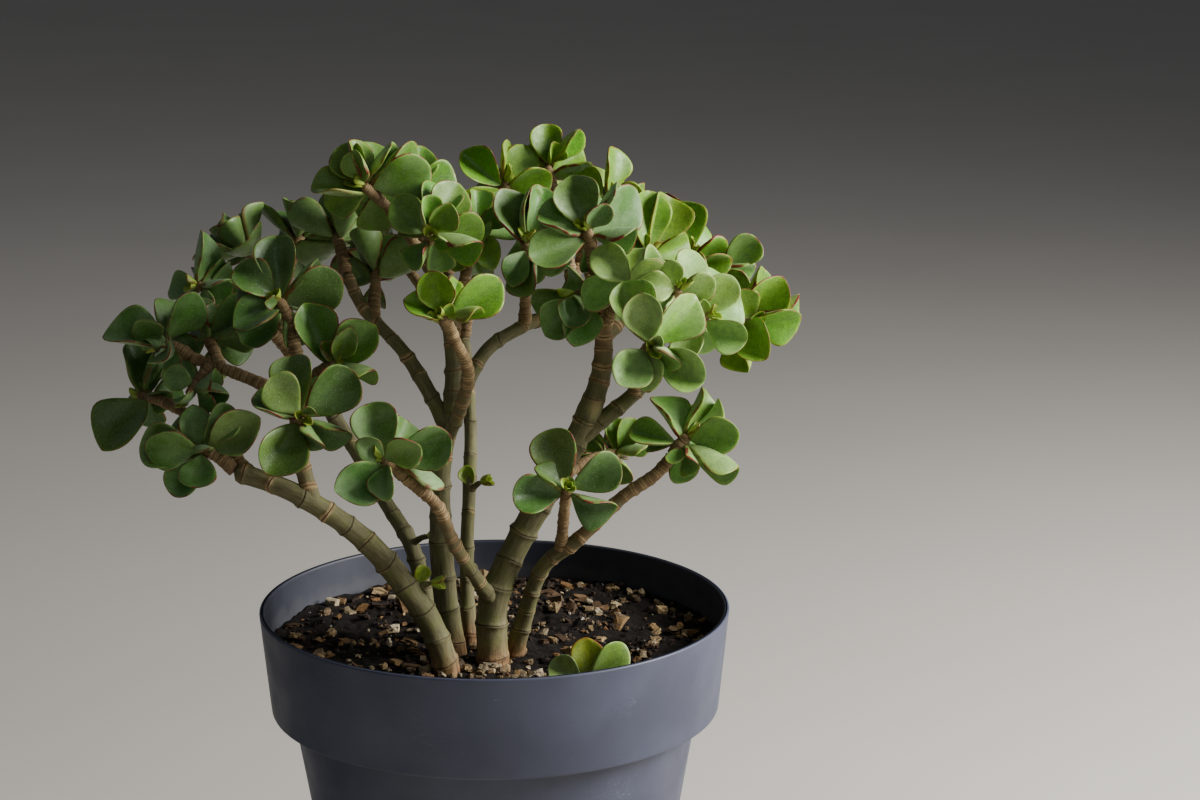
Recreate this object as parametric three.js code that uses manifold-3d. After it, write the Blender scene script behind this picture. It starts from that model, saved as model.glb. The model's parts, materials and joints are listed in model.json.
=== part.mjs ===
// A potted jade plant: a plastic pot with a collar, soil, woody stems and leafy shoots.
// Millimetres, +Z up, the origin at the middle of the pot's base. The plant's own points
// are counted from the middle of the soil's surface, so it follows the pot and the soil.
import * as THREE from "three";
import { mergeVertices } from "three/addons/utils/BufferGeometryUtils.js";
import Module from "manifold-3d";

const wasm = await Module();
wasm.setup();

// ---- driving dimensions ----
const potHeight = 200;
const rimRadius = 110;
const wallThickness = 2.5;
const collarHeight = 48;
const collarTaper = 0.1; // the collar's radius lost per mm of height
const collarStep = 9.7; // how far the body stands in from the collar's lower edge
const bodyTaper = 0.17; // the body's radius lost per mm of height
const edgeRound = 1.1; // rounding of the rim and of the collar's lower edge
const edgeMiddle = 0.3; // how far in the middle point of a rounded edge lies, as a share of it
const floorThickness = 4;
const drainHoleRadius = 5;
const drainHoleRing = 42; // radius of the circle that the drain holes stand on
const drainHoleCount = 6;
const potSides = 48;

const soilBelowRim = 17;
const soilUnevenness = 1.6; // height of the soil's low mounds
const rootDepth = 14; // how far each stem goes into the soil
const shootRootDepth = 6; // the same for a shoot that grows from the soil itself

const plantSpread = 1; // scale of the plant's points, 1 as grown
const leafLength = 27; // a full-grown leaf
const leafWidthShare = 0.82; // a leaf's width over its length
const leafThickness = 3.4;
const leafRise = 1.05; // power of the outline's growth from the base
const leafFall = 0.5; // power of its rounding off at the tip
const leafEdge = 0.6; // power of the thickness's rounding at both ends
const twigRadius = 2.8; // a shoot's own twig, at its leafy end
const twigBow = 0.2; // rise of a twig's middle handle, as a share of its length
const leafBaseOut = 1.3; // from the twig's middle line to a leaf's base
const leafyTwig = { lowest: 7, length: 6 }; // where leaves sit, measured back from the twig's end
const nodeSpacing = 15; // between the rings of a stem
const lookUp = 26; // degrees that a rosette looks upwards as well as outwards
const pairSplay = { oldest: 82, closing: 20, uneven: 6 }; // degrees from the twig, for leaf pairs
const pairTurn = { perPair: 90, opposite: 180, uneven: 8 }; // degrees round the twig
const pairShrink = 0.13; // each younger pair is smaller by this share
const nodeSwelling = 0.08; // how much a stem's thickness varies from ring to ring
const gap = 0.3; // clearance between touching pieces
const woodGap = 0.42; // the same round bent wood, whose flat sides lie inside its radius

const soilLevel = potHeight - soilBelowRim;

// ---- stems: points from the soil's middle, radius at the root and at the tip ----
const stems = [
  { name: "stem_front_left", radii: [6.2, 4.2],
    points: [[-20, -50, 0], [-27, -53, 24], [-38, -56, 43], [-55, -60, 65], [-83, -68, 88],
      [-112, -62, 98]] },
  { name: "stem_back_left", radii: [4, 3],
    points: [[-29, -2, 0], [-32, -4, 20], [-39, 0, 46], [-52, 15, 63], [-72, 32, 92], [-98, 42, 130],
      [-106, 44, 158]] },
  { name: "stem_middle", radii: [6.2, 3],
    points: [[-19, -20, 0], [-22, -20, 25], [-24, -18, 63], [-23, -15, 91], [-18, -10, 118], [-19, -4, 148],
      [-24, -18, 176], [-27, -32, 188]] },
  { name: "stem_middle_right", radii: [7.2, 5.4],
    points: [[0, -35, 0], [1, -35, 30], [15, -32, 62], [31, -30, 90], [45, -30, 117]] },
  { name: "stem_right", radii: [4.4, 2.6],
    points: [[10, -22, 0], [15, -29, 21], [24, -38, 47], [39, -45, 61], [60, -47, 82], [74, -47, 92],
      [82, -46, 101]] },
  { name: "stem_back", radii: [3.6, 2.6],
    points: [[-12, 0, 0], [-13, 2, 21], [-13, 5, 47], [-12, 12, 70], [-12, 28, 100], [-16, 52, 134],
      [-24, 74, 160]] },
];

// ---- branches: each leaves its parent at a share of the parent's length ----
const branches = [
  { name: "branch_low_left", parent: "stem_middle_right", from: 0.3, radii: [3.4, 2.5],
    points: [[-9, -56, 51], [-16, -69, 68], [-22, -80, 87], [-36, -88, 102]] },
  { name: "branch_up_left", parent: "stem_front_left", from: 0.76, radii: [3.6, 2.6],
    points: [[-84, -62, 112], [-84, -50, 140], [-88, -46, 162]] },
  { name: "branch_far_left", parent: "branch_up_left", from: 0.5, radii: [3, 2.4],
    points: [[-98, -44, 131], [-116, -40, 138], [-134, -34, 143]] },
  { name: "branch_left", parent: "stem_middle", from: 0.56, radii: [3.6, 2.7],
    points: [[-40, -1, 137], [-59, 5, 157], [-68, 14, 172]] },
  { name: "branch_back_right", parent: "stem_middle", from: 0.585, radii: [3.6, 2.6],
    points: [[-3, 2, 138], [12, 10, 147], [28, 22, 153], [40, 40, 172]] },
  { name: "branch_front", parent: "stem_middle", from: 0.52, radii: [3.3, 2.4],
    points: [[-12, -40, 124], [-9, -56, 143], [-14, -68, 158]] },
  { name: "branch_top_right", parent: "stem_middle_right", from: 0.97, radii: [4.8, 3.5],
    points: [[50, -28, 135], [51, -29, 155], [50, -31, 173], [46, -36, 190]] },
  { name: "branch_right", parent: "stem_middle_right", from: 0.9, radii: [3.9, 2.7],
    points: [[60, -30, 121], [74, -35, 136], [86, -36, 150], [98, -30, 156]] },
  { name: "branch_upper_right", parent: "branch_top_right", from: 0.5, radii: [3.2, 2.5],
    points: [[62, -20, 160], [76, -8, 170], [90, 4, 172]] },
  { name: "branch_rear_right", parent: "branch_back_right", from: 0.6, radii: [2.9, 2.4],
    points: [[34, 40, 148], [52, 62, 156], [72, 76, 160]] },
];

// ---- leafy shoots ----
// at: the rosette's middle. Each leaf: [direction round the picture plane, 0 to +X and 90 up;
// tilt towards the front; length in hundredths of a full-grown leaf; roll about its own length],
// angles in degrees, the oldest leaf first. A shoot with pairs has opposite leaves by rule.
const shoots = [
  { name: "shoot_top_left", parent: "stem_middle", from: 0.86, at: [-56, -30, 220],
    leaves: [[178, 5, 95, 60], [200, -35, 78, 0], [20, 5, 104, 10], [48, -5, 105, 50], [125, 5, 84, 10],
      [85, -25, 86, 20], [115, 20, 78, 50], [70, 15, 80, 65], [100, 25, 66, -20]] },
  { name: "shoot_top_left_rear", parent: "stem_middle", from: 0.8, at: [-42, 2, 214],
    leaves: [[330, -5, 84, 0], [200, -10, 84, 10], [20, -15, 92, 0], [66, -5, 88, 10], [105, -25, 86, 0],
      [60, -20, 64, 30], [140, -30, 80, 0]] },
  { name: "shoot_top_middle", parent: "stem_middle", from: 1, at: [-25, -48, 201],
    leaves: [[250, 10, 62, 50], [130, 15, 84, 0], [12, -20, 84, 20], [3, 15, 88, 50], [80, -15, 100, 5],
      [62, -20, 96, 20], [345, 30, 42, 30], [104, 40, 66, 40], [62, 38, 70, 5]] },
  { name: "shoot_front_middle", parent: "branch_front", from: 1, at: [-19, -76, 170],
    leaves: [[152, 20, 80, 50], [112, -15, 88, 75], [75, -30, 80, 30], [35, 5, 106, 0], [30, 35, 64, 75],
      [103, 28, 78, 0], [60, 55, 28, 0]] },
  { name: "shoot_crown", parent: "branch_top_right", from: 1, at: [43, -40, 202],
    leaves: [[197, 10, 105, 30], [175, -25, 82, 10], [12, 15, 78, 50], [42, -5, 110, 15], [162, 15, 86, 60],
      [62, 5, 96, 50], [107, 5, 98, 0], [92, -40, 100, 50], [66, 42, 62, 20]] },
  { name: "shoot_crown_low", parent: "branch_top_right", from: 0.7, at: [38, -28, 170],
    leaves: [[235, 20, 78, 20], [222, -15, 95, 10], [258, -10, 85, 0], [285, -25, 80, 10], [315, 35, 45, 40],
      [195, -35, 80, 0]] },
  { name: "shoot_centre", parent: "branch_back_right", from: 0.55, at: [16, -2, 190],
    leaves: [[283, 10, 88, 30], [250, 5, 74, 20], [340, -5, 76, 40], [122, 8, 100, 50], [108, -22, 92, 10],
      [100, 15, 88, 60], [75, -12, 98, 10]] },
  { name: "shoot_centre_left", parent: "stem_middle", from: 0.74, at: [-6, 18, 193],
    leaves: [[300, 20, 72, 0], [240, 10, 80, 30], [190, 0, 86, 10], [20, -20, 80, 0], [140, -30, 86, 0],
      [96, 5, 68, 30], [50, 15, 52, 0], [275, 45, 50, 0]] },
  { name: "shoot_rear_left_top", parent: "stem_back", from: 0.82, at: [6, 50, 209],
    leaves: [[200, 10, 78, 0], [320, 10, 74, 20], [143, 5, 94, 10], [20, 15, 82, 20], [90, -50, 84, 0],
      [58, 0, 88, 0], [96, 5, 84, 65]] },
  { name: "shoot_rear_top", parent: "branch_back_right", from: 0.9, at: [24, 60, 215],
    leaves: [[10, 0, 74, 40], [182, -10, 78, 20], [120, -30, 82, 0], [40, -20, 78, 20], [95, 0, 76, 0],
      [68, 10, 82, 70], [75, 35, 52, 40]] },
  { name: "shoot_rear_right_top", parent: "branch_back_right", from: 1, at: [54, 46, 203],
    leaves: [[300, 10, 72, 20], [170, 0, 70, 0], [20, 25, 70, 0], [140, -10, 66, 20], [12, -15, 72, 20],
      [110, -50, 60, 0], [78, 12, 86, 55]] },
  { name: "shoot_upper_right", parent: "branch_upper_right", from: 0.4, at: [72, -14, 188],
    leaves: [[205, 10, 68, 60], [330, -10, 72, 0], [20, -20, 80, 10], [130, -20, 86, 30], [92, 5, 104, 30],
      [72, -20, 102, 30], [255, 30, 62, 20]] },
  { name: "shoot_upper_right_rear", parent: "branch_upper_right", from: 0.95, at: [92, 2, 184],
    leaves: [[10, 20, 72, 20], [150, -30, 78, 10], [30, 0, 76, 40], [108, 0, 100, 20], [80, -18, 92, 30],
      [320, 35, 56, 20]] },
  { name: "shoot_right_upper", parent: "branch_right", from: 0.55, at: [84, -50, 178],
    leaves: [[265, 15, 62, 30], [230, 20, 72, 50], [20, 10, 72, 20], [60, -10, 82, 10], [150, 15, 92, 0],
      [172, 28, 74, 20], [100, 45, 52, 0]] },
  { name: "shoot_right_inner", parent: "branch_top_right", from: 0.56, at: [66, -48, 180],
    leaves: [[200, -20, 82, 30], [320, -10, 62, 10], [140, -10, 82, 10], [100, -40, 80, 0], [75, 10, 64, 50],
      [30, 28, 64, 10], [60, 55, 36, 0]] },
  { name: "shoot_right_front", parent: "branch_right", from: 0.42, at: [71, -78, 157],
    leaves: [[270, 10, 74, 20], [225, 5, 88, 10], [332, 5, 104, 0], [115, -5, 106, 10], [45, 0, 110, 0],
      [355, 35, 64, 40], [97, 22, 88, 0], [55, 60, 36, 0]] },
  { name: "shoot_right_middle", parent: "branch_right", from: 0.75, at: [97, -48, 165],
    leaves: [[250, 0, 72, 20], [343, 10, 84, 0], [20, -25, 82, 20], [150, 0, 70, 30], [76, -10, 106, 15],
      [55, 22, 86, 0], [100, 55, 36, 0]] },
  { name: "shoot_right_rear", parent: "branch_upper_right", from: 1, at: [106, 4, 174],
    leaves: [[300, 10, 64, 0], [160, -10, 62, 0], [5, -15, 76, 40], [112, -20, 82, 10], [80, -45, 82, 0],
      [345, 20, 62, 30], [45, 8, 78, 0]] },
  { name: "shoot_far_right", parent: "branch_right", from: 1, at: [119, -22, 156],
    leaves: [[290, -5, 84, 55], [308, 10, 94, 0], [80, -5, 88, 65], [20, -15, 102, 40], [3, 5, 88, 30],
      [55, 10, 92, 0], [118, 38, 84, 10], [60, 60, 36, 0]] },
  { name: "shoot_low_right", parent: "stem_right", from: 1, at: [89, -45, 109],
    leaves: [[250, 20, 44, 20], [176, -10, 80, 40], [352, 10, 100, 60], [312, 20, 56, 55], [118, 5, 86, 55],
      [88, -20, 80, 20], [65, -25, 96, 50], [35, -15, 92, 65], [12, 15, 86, 15]] },
  { name: "shoot_low_middle", parent: "stem_right", from: 0.53, at: [35, -68, 91],
    leaves: [[182, 10, 88, 25], [348, 10, 84, 25], [138, 25, 64, 70], [107, 0, 98, 0], [32, 5, 94, 0],
      [80, 60, 24, 0]] },
  { name: "shoot_low_rear", parent: "stem_middle_right", from: 0.7, at: [58, -2, 90],
    leaves: [[200, 0, 62, 20], [320, 10, 58, 40], [150, -20, 62, 0], [22, 15, 64, 65], [100, 0, 58, 20],
      [62, 10, 64, 0]] },
  { name: "shoot_left_front", parent: "branch_up_left", from: 0.3, at: [-79, -88, 128],
    leaves: [[236, 15, 106, 10], [42, 0, 108, 10], [345, -5, 82, 30], [100, 0, 100, 0], [158, 20, 82, 55],
      [310, 20, 62, 60], [122, 32, 84, 10], [60, 55, 36, 30]] },
  { name: "shoot_front", parent: "branch_low_left", from: 1, at: [-45, -94, 111],
    leaves: [[198, 15, 102, 0], [345, -20, 92, 60], [22, -5, 100, 0], [275, 25, 70, 20], [108, 5, 92, 0],
      [55, -30, 84, 20], [142, 40, 54, 20], [28, 28, 72, 5]] },
  { name: "shoot_left_low", parent: "stem_front_left", from: 1, at: [-130, -56, 106],
    leaves: [[232, 0, 88, 20], [178, -12, 106, 20], [30, -5, 104, 0], [128, -30, 78, 0], [268, 20, 80, 0],
      [55, -18, 84, 10], [172, 22, 88, 0], [97, 18, 70, 5], [30, 60, 42, 60]] },
  { name: "shoot_far_left_low", parent: "stem_front_left", from: 0.95, at: [-160, -20, 122],
    leaves: [[226, 15, 118, 25], [112, -35, 78, 30], [85, -10, 84, 80], [5, 30, 56, 20], [104, 10, 88, 50]] },
  { name: "shoot_left_small", parent: "branch_far_left", from: 0.8, at: [-134, -44, 127],
    leaves: [[352, 25, 64, 55], [160, 30, 62, 20], [335, 20, 56, 30], [40, 35, 60, 60], [300, 50, 50, 0]] },
  { name: "shoot_far_left", parent: "branch_far_left", from: 1, at: [-148, -32, 149],
    leaves: [[285, 25, 52, 30], [318, 35, 78, 10], [165, 15, 108, 50], [88, -25, 88, 20], [58, 10, 108, 50],
      [160, 35, 52, -70], [125, 50, 66, 0]] },
  { name: "shoot_left_middle", parent: "branch_far_left", from: 0.75, at: [-129, -22, 150],
    leaves: [[345, -30, 72, 0], [20, 25, 92, 45], [200, -30, 70, 0], [38, 5, 112, 0], [110, 0, 74, 40],
      [75, 25, 60, 30]] },
  { name: "shoot_left_upper_rear", parent: "stem_back_left", from: 0.84, at: [-138, 16, 166],
    leaves: [[345, 10, 64, 0], [190, -20, 66, 30], [300, 20, 70, 20], [40, -35, 62, 30], [10, 20, 66, 40],
      [84, 5, 92, 68]] },
  { name: "shoot_left_upper", parent: "branch_up_left", from: 1, at: [-92, -52, 173],
    leaves: [[226, -10, 84, 30], [200, 15, 86, 40], [150, -25, 88, 0], [24, 10, 104, 20], [92, 10, 106, 0],
      [48, 5, 88, 60], [140, 22, 86, 35], [165, 60, 32, 0]] },
  { name: "shoot_left_inner", parent: "branch_up_left", from: 0.6, at: [-66, -62, 146],
    leaves: [[250, -10, 62, 20], [114, 5, 104, 25], [38, 5, 98, 0], [12, 25, 78, 60], [125, 40, 44, 50],
      [62, 30, 66, 10]] },
  { name: "shoot_rear_left_1", parent: "stem_back_left", from: 1, at: [-120, 44, 180], pairs: 4, turn: 20 },
  { name: "shoot_rear_left_2", parent: "stem_back_left", from: 0.93, at: [-92, 54, 184], pairs: 4, turn: 65 },
  { name: "shoot_rear_left_3", parent: "branch_left", from: 1, at: [-74, 28, 189], pairs: 4, turn: 35 },
  { name: "shoot_rear_left_4", parent: "branch_left", from: 0.7, at: [-54, 20, 173], pairs: 3, turn: 60 },
  { name: "shoot_rear_middle", parent: "stem_back", from: 1, at: [-30, 86, 186], pairs: 4, turn: 10 },
  { name: "shoot_rear_right_1", parent: "branch_rear_right", from: 0.6, at: [36, 92, 186], pairs: 4, turn: 50 },
  { name: "shoot_rear_right_2", parent: "branch_rear_right", from: 0.9, at: [80, 88, 178], pairs: 4, turn: 25 },
  { name: "shoot_rear_right_3", parent: "branch_rear_right", from: 1, at: [98, 62, 160], pairs: 4, turn: 70 },
  { name: "shoot_rear_left_5", parent: "stem_back", from: 0.74, at: [-62, 90, 176], pairs: 4, turn: 55 },
  { name: "shoot_by_rim", at: [43, -71, 6], leaves: [[138, 12, 68, 10], [91, 0, 70, 0], [40, 12, 80, 10]] },
];

// Young sprouts straight on the wood: where on it, and which way round the stem they look.
const sprouts = [
  { parent: "stem_front_left", from: 0.36, at: [-26, -56, 44],
    leaves: [[70, 10, 36, 10], [120, 20, 30, 40]] },
  { parent: "stem_back_left", from: 0.3, at: [-30, -8, 52],
    leaves: [[80, 0, 34, 20], [130, 20, 28, 0]] },
  { parent: "stem_back", from: 0.42, at: [-6, 8, 74],
    leaves: [[100, 10, 40, 0], [10, 20, 44, 10], [200, 10, 34, 20]] },
];

// ---- small helpers ----
const up = new THREE.Vector3(0, 0, 1);
const radians = THREE.MathUtils.degToRad;

// A repeatable number from -1 to 1 for each whole k.
function wobble(k) {
  const s = Math.sin(k * 12.9898) * 43758.5453;
  return (s - Math.floor(s)) * 2 - 1;
}

// A closed three.js geometry as a solid that can be joined and cut.
function solidOf(geometry) {
  const bare = geometry.clone();
  bare.deleteAttribute("normal");
  bare.deleteAttribute("uv");
  const merged = mergeVertices(bare, 1e-4);
  return new wasm.Manifold(
    new wasm.Mesh({
      numProp: 3,
      vertProperties: merged.attributes.position.array,
      triVerts: new Uint32Array(merged.index.array),
    }),
  );
}

function geometryOf(solid) {
  const { numProp, vertProperties, triVerts } = solid.getMesh();
  const geometry = new THREE.BufferGeometry();
  const data = new THREE.InterleavedBuffer(vertProperties, numProp);
  geometry.setAttribute("position", new THREE.InterleavedBufferAttribute(data, 3, 0));
  geometry.setIndex(new THREE.BufferAttribute(triVerts, 1));
  return geometry.toNonIndexed();
}

function largestBody(solid) {
  return solid.decompose().reduce((a, b) => (b.volume() > a.volume() ? b : a));
}

function boxesMeet(a, b) {
  const [p, q] = [a.boundingBox(), b.boundingBox()];
  return [0, 1, 2].every((i) => p.min[i] <= q.max[i] && q.min[i] <= p.max[i]);
}

function sharedVolume(a, b) {
  return boxesMeet(a, b) ? a.intersect(b).volume() : 0;
}

// ---- the pot ----
const collarBottom = potHeight - collarHeight;
const collarLowRadius = rimRadius - collarTaper * collarHeight;
const bodyTopRadius = collarLowRadius - collarStep;
const ledge = collarBottom + wallThickness; // the inside step, as thick as the wall

// The inside radius at a height in the collar, and at a height in the body below the ledge.
function collarInside(z) {
  return rimRadius - wallThickness - collarTaper * (potHeight - z);
}

function bodyInside(z) {
  return bodyTopRadius - wallThickness - bodyTaper * (collarBottom - z);
}

function makePot() {
  const baseRadius = bodyTopRadius - bodyTaper * collarBottom;
  const bevel = edgeRound * edgeMiddle;
  const profile = [
    [0, 0],
    [baseRadius - edgeRound, 0],
    [baseRadius, edgeRound],
    [bodyTopRadius, collarBottom],
    [collarLowRadius - edgeRound, collarBottom],
    [collarLowRadius - bevel, collarBottom + bevel],
    [collarLowRadius, collarBottom + edgeRound],
    [rimRadius, potHeight - edgeRound],
    [rimRadius - bevel, potHeight - bevel],
    [rimRadius - edgeRound, potHeight],
    [rimRadius - wallThickness + edgeRound, potHeight],
    [collarInside(potHeight - edgeRound), potHeight - edgeRound],
    [collarInside(ledge), ledge],
    [bodyInside(collarBottom), ledge],
    [bodyInside(floorThickness), floorThickness],
    [0, floorThickness],
  ].map(([r, z]) => new THREE.Vector2(r, z));
  let pot = solidOf(new THREE.LatheGeometry(profile, potSides).rotateX(Math.PI / 2));
  for (let i = 0; i < drainHoleCount; i++) {
    const a = (2 * Math.PI * i) / drainHoleCount;
    const hole = new THREE.CylinderGeometry(drainHoleRadius, drainHoleRadius, 3 * floorThickness, 16)
      .rotateX(Math.PI / 2)
      .translate(drainHoleRing * Math.cos(a), drainHoleRing * Math.sin(a), floorThickness / 2);
    pot = pot.subtract(solidOf(hole));
  }
  return pot;
}

// The soil fills the pot to its level, a gap clear of the wall and the floor. Its top has
// three rings of points, raised and lowered by waves across it but level along the wall.
function makeSoil() {
  const bottom = floorThickness + gap;
  const edge = collarInside(soilLevel) - 2 * gap;
  const rings = [0.78, 0.52, 0.26, 0].map((share) => [edge * share, soilLevel]);
  const profile = [
    [0, bottom],
    [bodyInside(bottom) - gap, bottom],
    [bodyInside(collarBottom) - gap, ledge + gap],
    [collarInside(ledge) - gap, ledge + gap],
    [edge, soilLevel],
    ...rings,
  ].map(([r, z]) => new THREE.Vector2(r, z));
  const geometry = new THREE.LatheGeometry(profile, potSides / 2).rotateX(Math.PI / 2);
  const place = geometry.attributes.position;
  const wave = 0.1; // radians per mm
  for (let i = 0; i < place.count; i++) {
    const [x, y, z] = [place.getX(i), place.getY(i), place.getZ(i)];
    const onTop = z > soilLevel - gap && Math.hypot(x, y) < edge * 0.9;
    if (onTop) place.setZ(i, z + soilUnevenness * Math.sin(x * wave) * Math.cos(y * wave + 1));
  }
  return solidOf(geometry);
}

// ---- stems and twigs ----
// A round stem bent along a curve. Its radius tapers from the root to the tip and swells and
// narrows by turns along it. The extra is a clearance added all round and at both ends.
function makeStem(curve, radii, sides, extra = 0) {
  const length = curve.getLength();
  const rows = Math.max(2, Math.round(length / nodeSpacing));
  const profile = [new THREE.Vector2(0, 0)];
  for (let j = 0; j <= rows; j++) {
    const s = j / rows;
    const swell = 1 + (j % 2 ? -nodeSwelling / 2 : nodeSwelling / 2);
    profile.push(new THREE.Vector2((radii[0] + (radii[1] - radii[0]) * s) * swell + extra, s));
  }
  profile.push(new THREE.Vector2(0, 1));
  const geometry = new THREE.LatheGeometry(profile, sides);
  const frames = curve.computeFrenetFrames(rows);
  const place = geometry.attributes.position;
  const point = new THREE.Vector3();
  for (let i = 0; i < place.count; i++) {
    const s = THREE.MathUtils.clamp(place.getY(i), 0, 1);
    const j = Math.round(s * rows);
    const past = s === 0 ? -extra : s === 1 ? extra : 0;
    point.copy(curve.getPointAt(s)).addScaledVector(frames.tangents[j], past);
    point.addScaledVector(frames.binormals[j], place.getX(i));
    point.addScaledVector(frames.normals[j], place.getZ(i));
    place.setXYZ(i, point.x, point.y, point.z);
  }
  return solidOf(geometry);
}

function plantPoint([x, y, z]) {
  return new THREE.Vector3(x, y, z).multiplyScalar(plantSpread).setZ(z * plantSpread + soilLevel);
}

// A shoot's twig runs from its parent's middle line to the rosette, bowed a little upwards.
function twigCurve(start, end) {
  const bow = start.clone().lerp(end, 0.5).addScaledVector(up, start.distanceTo(end) * twigBow);
  return new THREE.QuadraticBezierCurve3(start, bow, end);
}

// ---- leaves ----
// A leaf is a ball of unit size pulled out along its length: u runs from the base to the tip,
// the half width is u^rise (1 - u)^fall scaled to its largest, the half thickness is
// sin(pi u)^edge, the edges are raised by the cup and the blade bends by the curl.
const ball = mergeVertices(bareBall(), 1e-4);

function bareBall() {
  const sphere = new THREE.SphereGeometry(1, 4, 3).rotateZ(-Math.PI / 2);
  sphere.deleteAttribute("normal");
  sphere.deleteAttribute("uv");
  return sphere;
}

const widestAt = leafRise / (leafRise + leafFall);

function outlineAt(u) {
  return (u / widestAt) ** leafRise * ((1 - u) / (1 - widestAt)) ** leafFall;
}

function makeLeaf(leaf, extra = 0) {
  const length = leaf.length + 2 * extra;
  const width = leaf.length * leafWidthShare * leaf.widthShare + 2 * extra;
  const thickness = leafThickness + 2 * extra;
  const side = new THREE.Vector3().crossVectors(leaf.normal, leaf.along);
  const place = ball.attributes.position.array;
  const out = new Float32Array(place.length);
  const point = new THREE.Vector3();
  for (let i = 0; i < place.length; i += 3) {
    const u = THREE.MathUtils.clamp((1 + place[i]) / 2, 0, 1) ** 0.8;
    const ring = Math.hypot(place[i + 1], place[i + 2]) || 1;
    const [q, h] = [place[i + 1] / ring, place[i + 2] / ring];
    const outline = outlineAt(u);
    const y = (width / 2) * outline * q;
    const z =
      (thickness / 2) * Math.sin(Math.PI * u) ** leafEdge * h +
      leaf.cup * outline * outline * q * q * (width / 2) +
      leaf.curl * length * u * u;
    const twist = leaf.twist * u;
    point.copy(leaf.base).addScaledVector(leaf.along, length * u - extra);
    point.addScaledVector(side, y * Math.cos(twist) - z * Math.sin(twist));
    point.addScaledVector(leaf.normal, y * Math.sin(twist) + z * Math.cos(twist));
    out.set([point.x, point.y, point.z], i);
  }
  return new wasm.Manifold(
    new wasm.Mesh({ numProp: 3, vertProperties: out, triVerts: new Uint32Array(ball.index.array) }),
  );
}

// A leaf's direction and the way that its upper face looks, from a row of the shoots' list.
// A rosette looks up, so its upper leaves lean back and its lower leaves come forward.
function rowDirections([around, towards, , roll], tiltMore) {
  const [a, r] = [radians(around), radians(roll)];
  const t = radians(towards + tiltMore - lookUp * Math.sin(a));
  const along = new THREE.Vector3(Math.cos(a) * Math.cos(t), -Math.sin(t), Math.sin(a) * Math.cos(t));
  const face = new THREE.Vector3(-Math.cos(a) * Math.sin(t), -Math.cos(t), -Math.sin(a) * Math.sin(t));
  return [along, face.applyAxisAngle(along, r)];
}

// Opposite leaves in pairs, each pair a quarter turn on, the oldest splayed out the furthest.
function pairDirections(shoot, axis, i, tiltMore) {
  const pair = Math.floor(i / 2);
  const uneven = [wobble(shoot.seed + i), wobble(shoot.seed + i + 20)];
  const splay = pairSplay.oldest - pairSplay.closing * pair + pairSplay.uneven * uneven[0] + tiltMore;
  const around = pairTurn.perPair * pair + pairTurn.opposite * (i % 2) + pairTurn.uneven * uneven[1];
  const across = new THREE.Vector3(1, 0, 0).cross(axis).normalize();
  across.applyAxisAngle(axis, radians(shoot.turn + around));
  const [c, s] = [Math.cos(radians(splay)), Math.sin(radians(splay))];
  const along = axis.clone().multiplyScalar(c).addScaledVector(across, s);
  const face = axis.clone().multiplyScalar(s).addScaledVector(across, -c);
  return [along, face];
}

function leafCount(shoot) {
  return shoot.leaves ? shoot.leaves.length : shoot.pairs * 2;
}

// Leaf i of a shoot at one of the steps that it may give way by.
function leafOf(shoot, i, [tiltMore, share]) {
  const k = shoot.seed + i;
  const back = leafyTwig.lowest - (leafyTwig.length * i) / (leafCount(shoot) - 1);
  const where = 1 - Math.min(back / shoot.curve.v0.distanceTo(shoot.curve.v2), 1);
  const axis = shoot.curve.getTangent(where);
  const [along, normal] = shoot.leaves
    ? rowDirections(shoot.leaves[i], tiltMore)
    : pairDirections(shoot, axis, i, tiltMore);
  const size = shoot.leaves
    ? shoot.leaves[i][2] / 100
    : 1 - pairShrink * Math.floor(i / 2) + 0.06 * wobble(k + 40);
  const outward = along.clone().addScaledVector(axis, -along.dot(axis)).normalize();
  return {
    base: shoot.curve.getPoint(where).addScaledVector(outward, leafBaseOut),
    along,
    normal,
    length: leafLength * size * share,
    widthShare: 1 + 0.07 * wobble(k + 1),
    cup: 0.3 + 0.16 * wobble(k + 2),
    curl: 0.06 + 0.1 * wobble(k + 3),
    twist: radians(14) * wobble(k + 4),
  };
}

// A crowded leaf tilts out of the way, and failing that it stays smaller.
const giveWay = [1, 0.9, 0.8, 0.68, 0.55].flatMap((share) =>
  [0, 9, -9, 18, -18, 27, -27].map((tilt) => [tilt, share]),
);
const ownOverlap = 25; // mm3 that two leaves of one shoot may share at their bases

// ---- assembly ----
const colours = { pot: "#34374a", soil: "#231b14", stem: "#8b8a5e", leaf: "#5f8f3e" };

function materialOf(kind) {
  const roughness = { pot: 0.55, soil: 1, stem: 0.8, leaf: 0.45 }[kind];
  return new THREE.MeshStandardMaterial({ color: colours[kind], roughness, metalness: 0 });
}

const model = new THREE.Group();

function addMesh(name, solid, kind) {
  const mesh = new THREE.Mesh(geometryOf(solid), materialOf(kind));
  mesh.name = name;
  model.add(mesh);
}

const wood = new Map(); // name to its curve, solid and radii
const grownWood = []; // every piece of wood with its clearance, to cut others by

// Wood is cut back from the wood already there, a gap clear of it.
function addWood(name, curve, radii, sides) {
  let solid = makeStem(curve, radii, sides);
  for (const other of grownWood) if (boxesMeet(solid, other.solid)) solid = solid.subtract(other.solid);
  solid = largestBody(solid);
  grownWood.push({ name, solid: makeStem(curve, radii, sides, woodGap) });
  wood.set(name, { curve, solid, radii });
  return solid;
}

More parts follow.
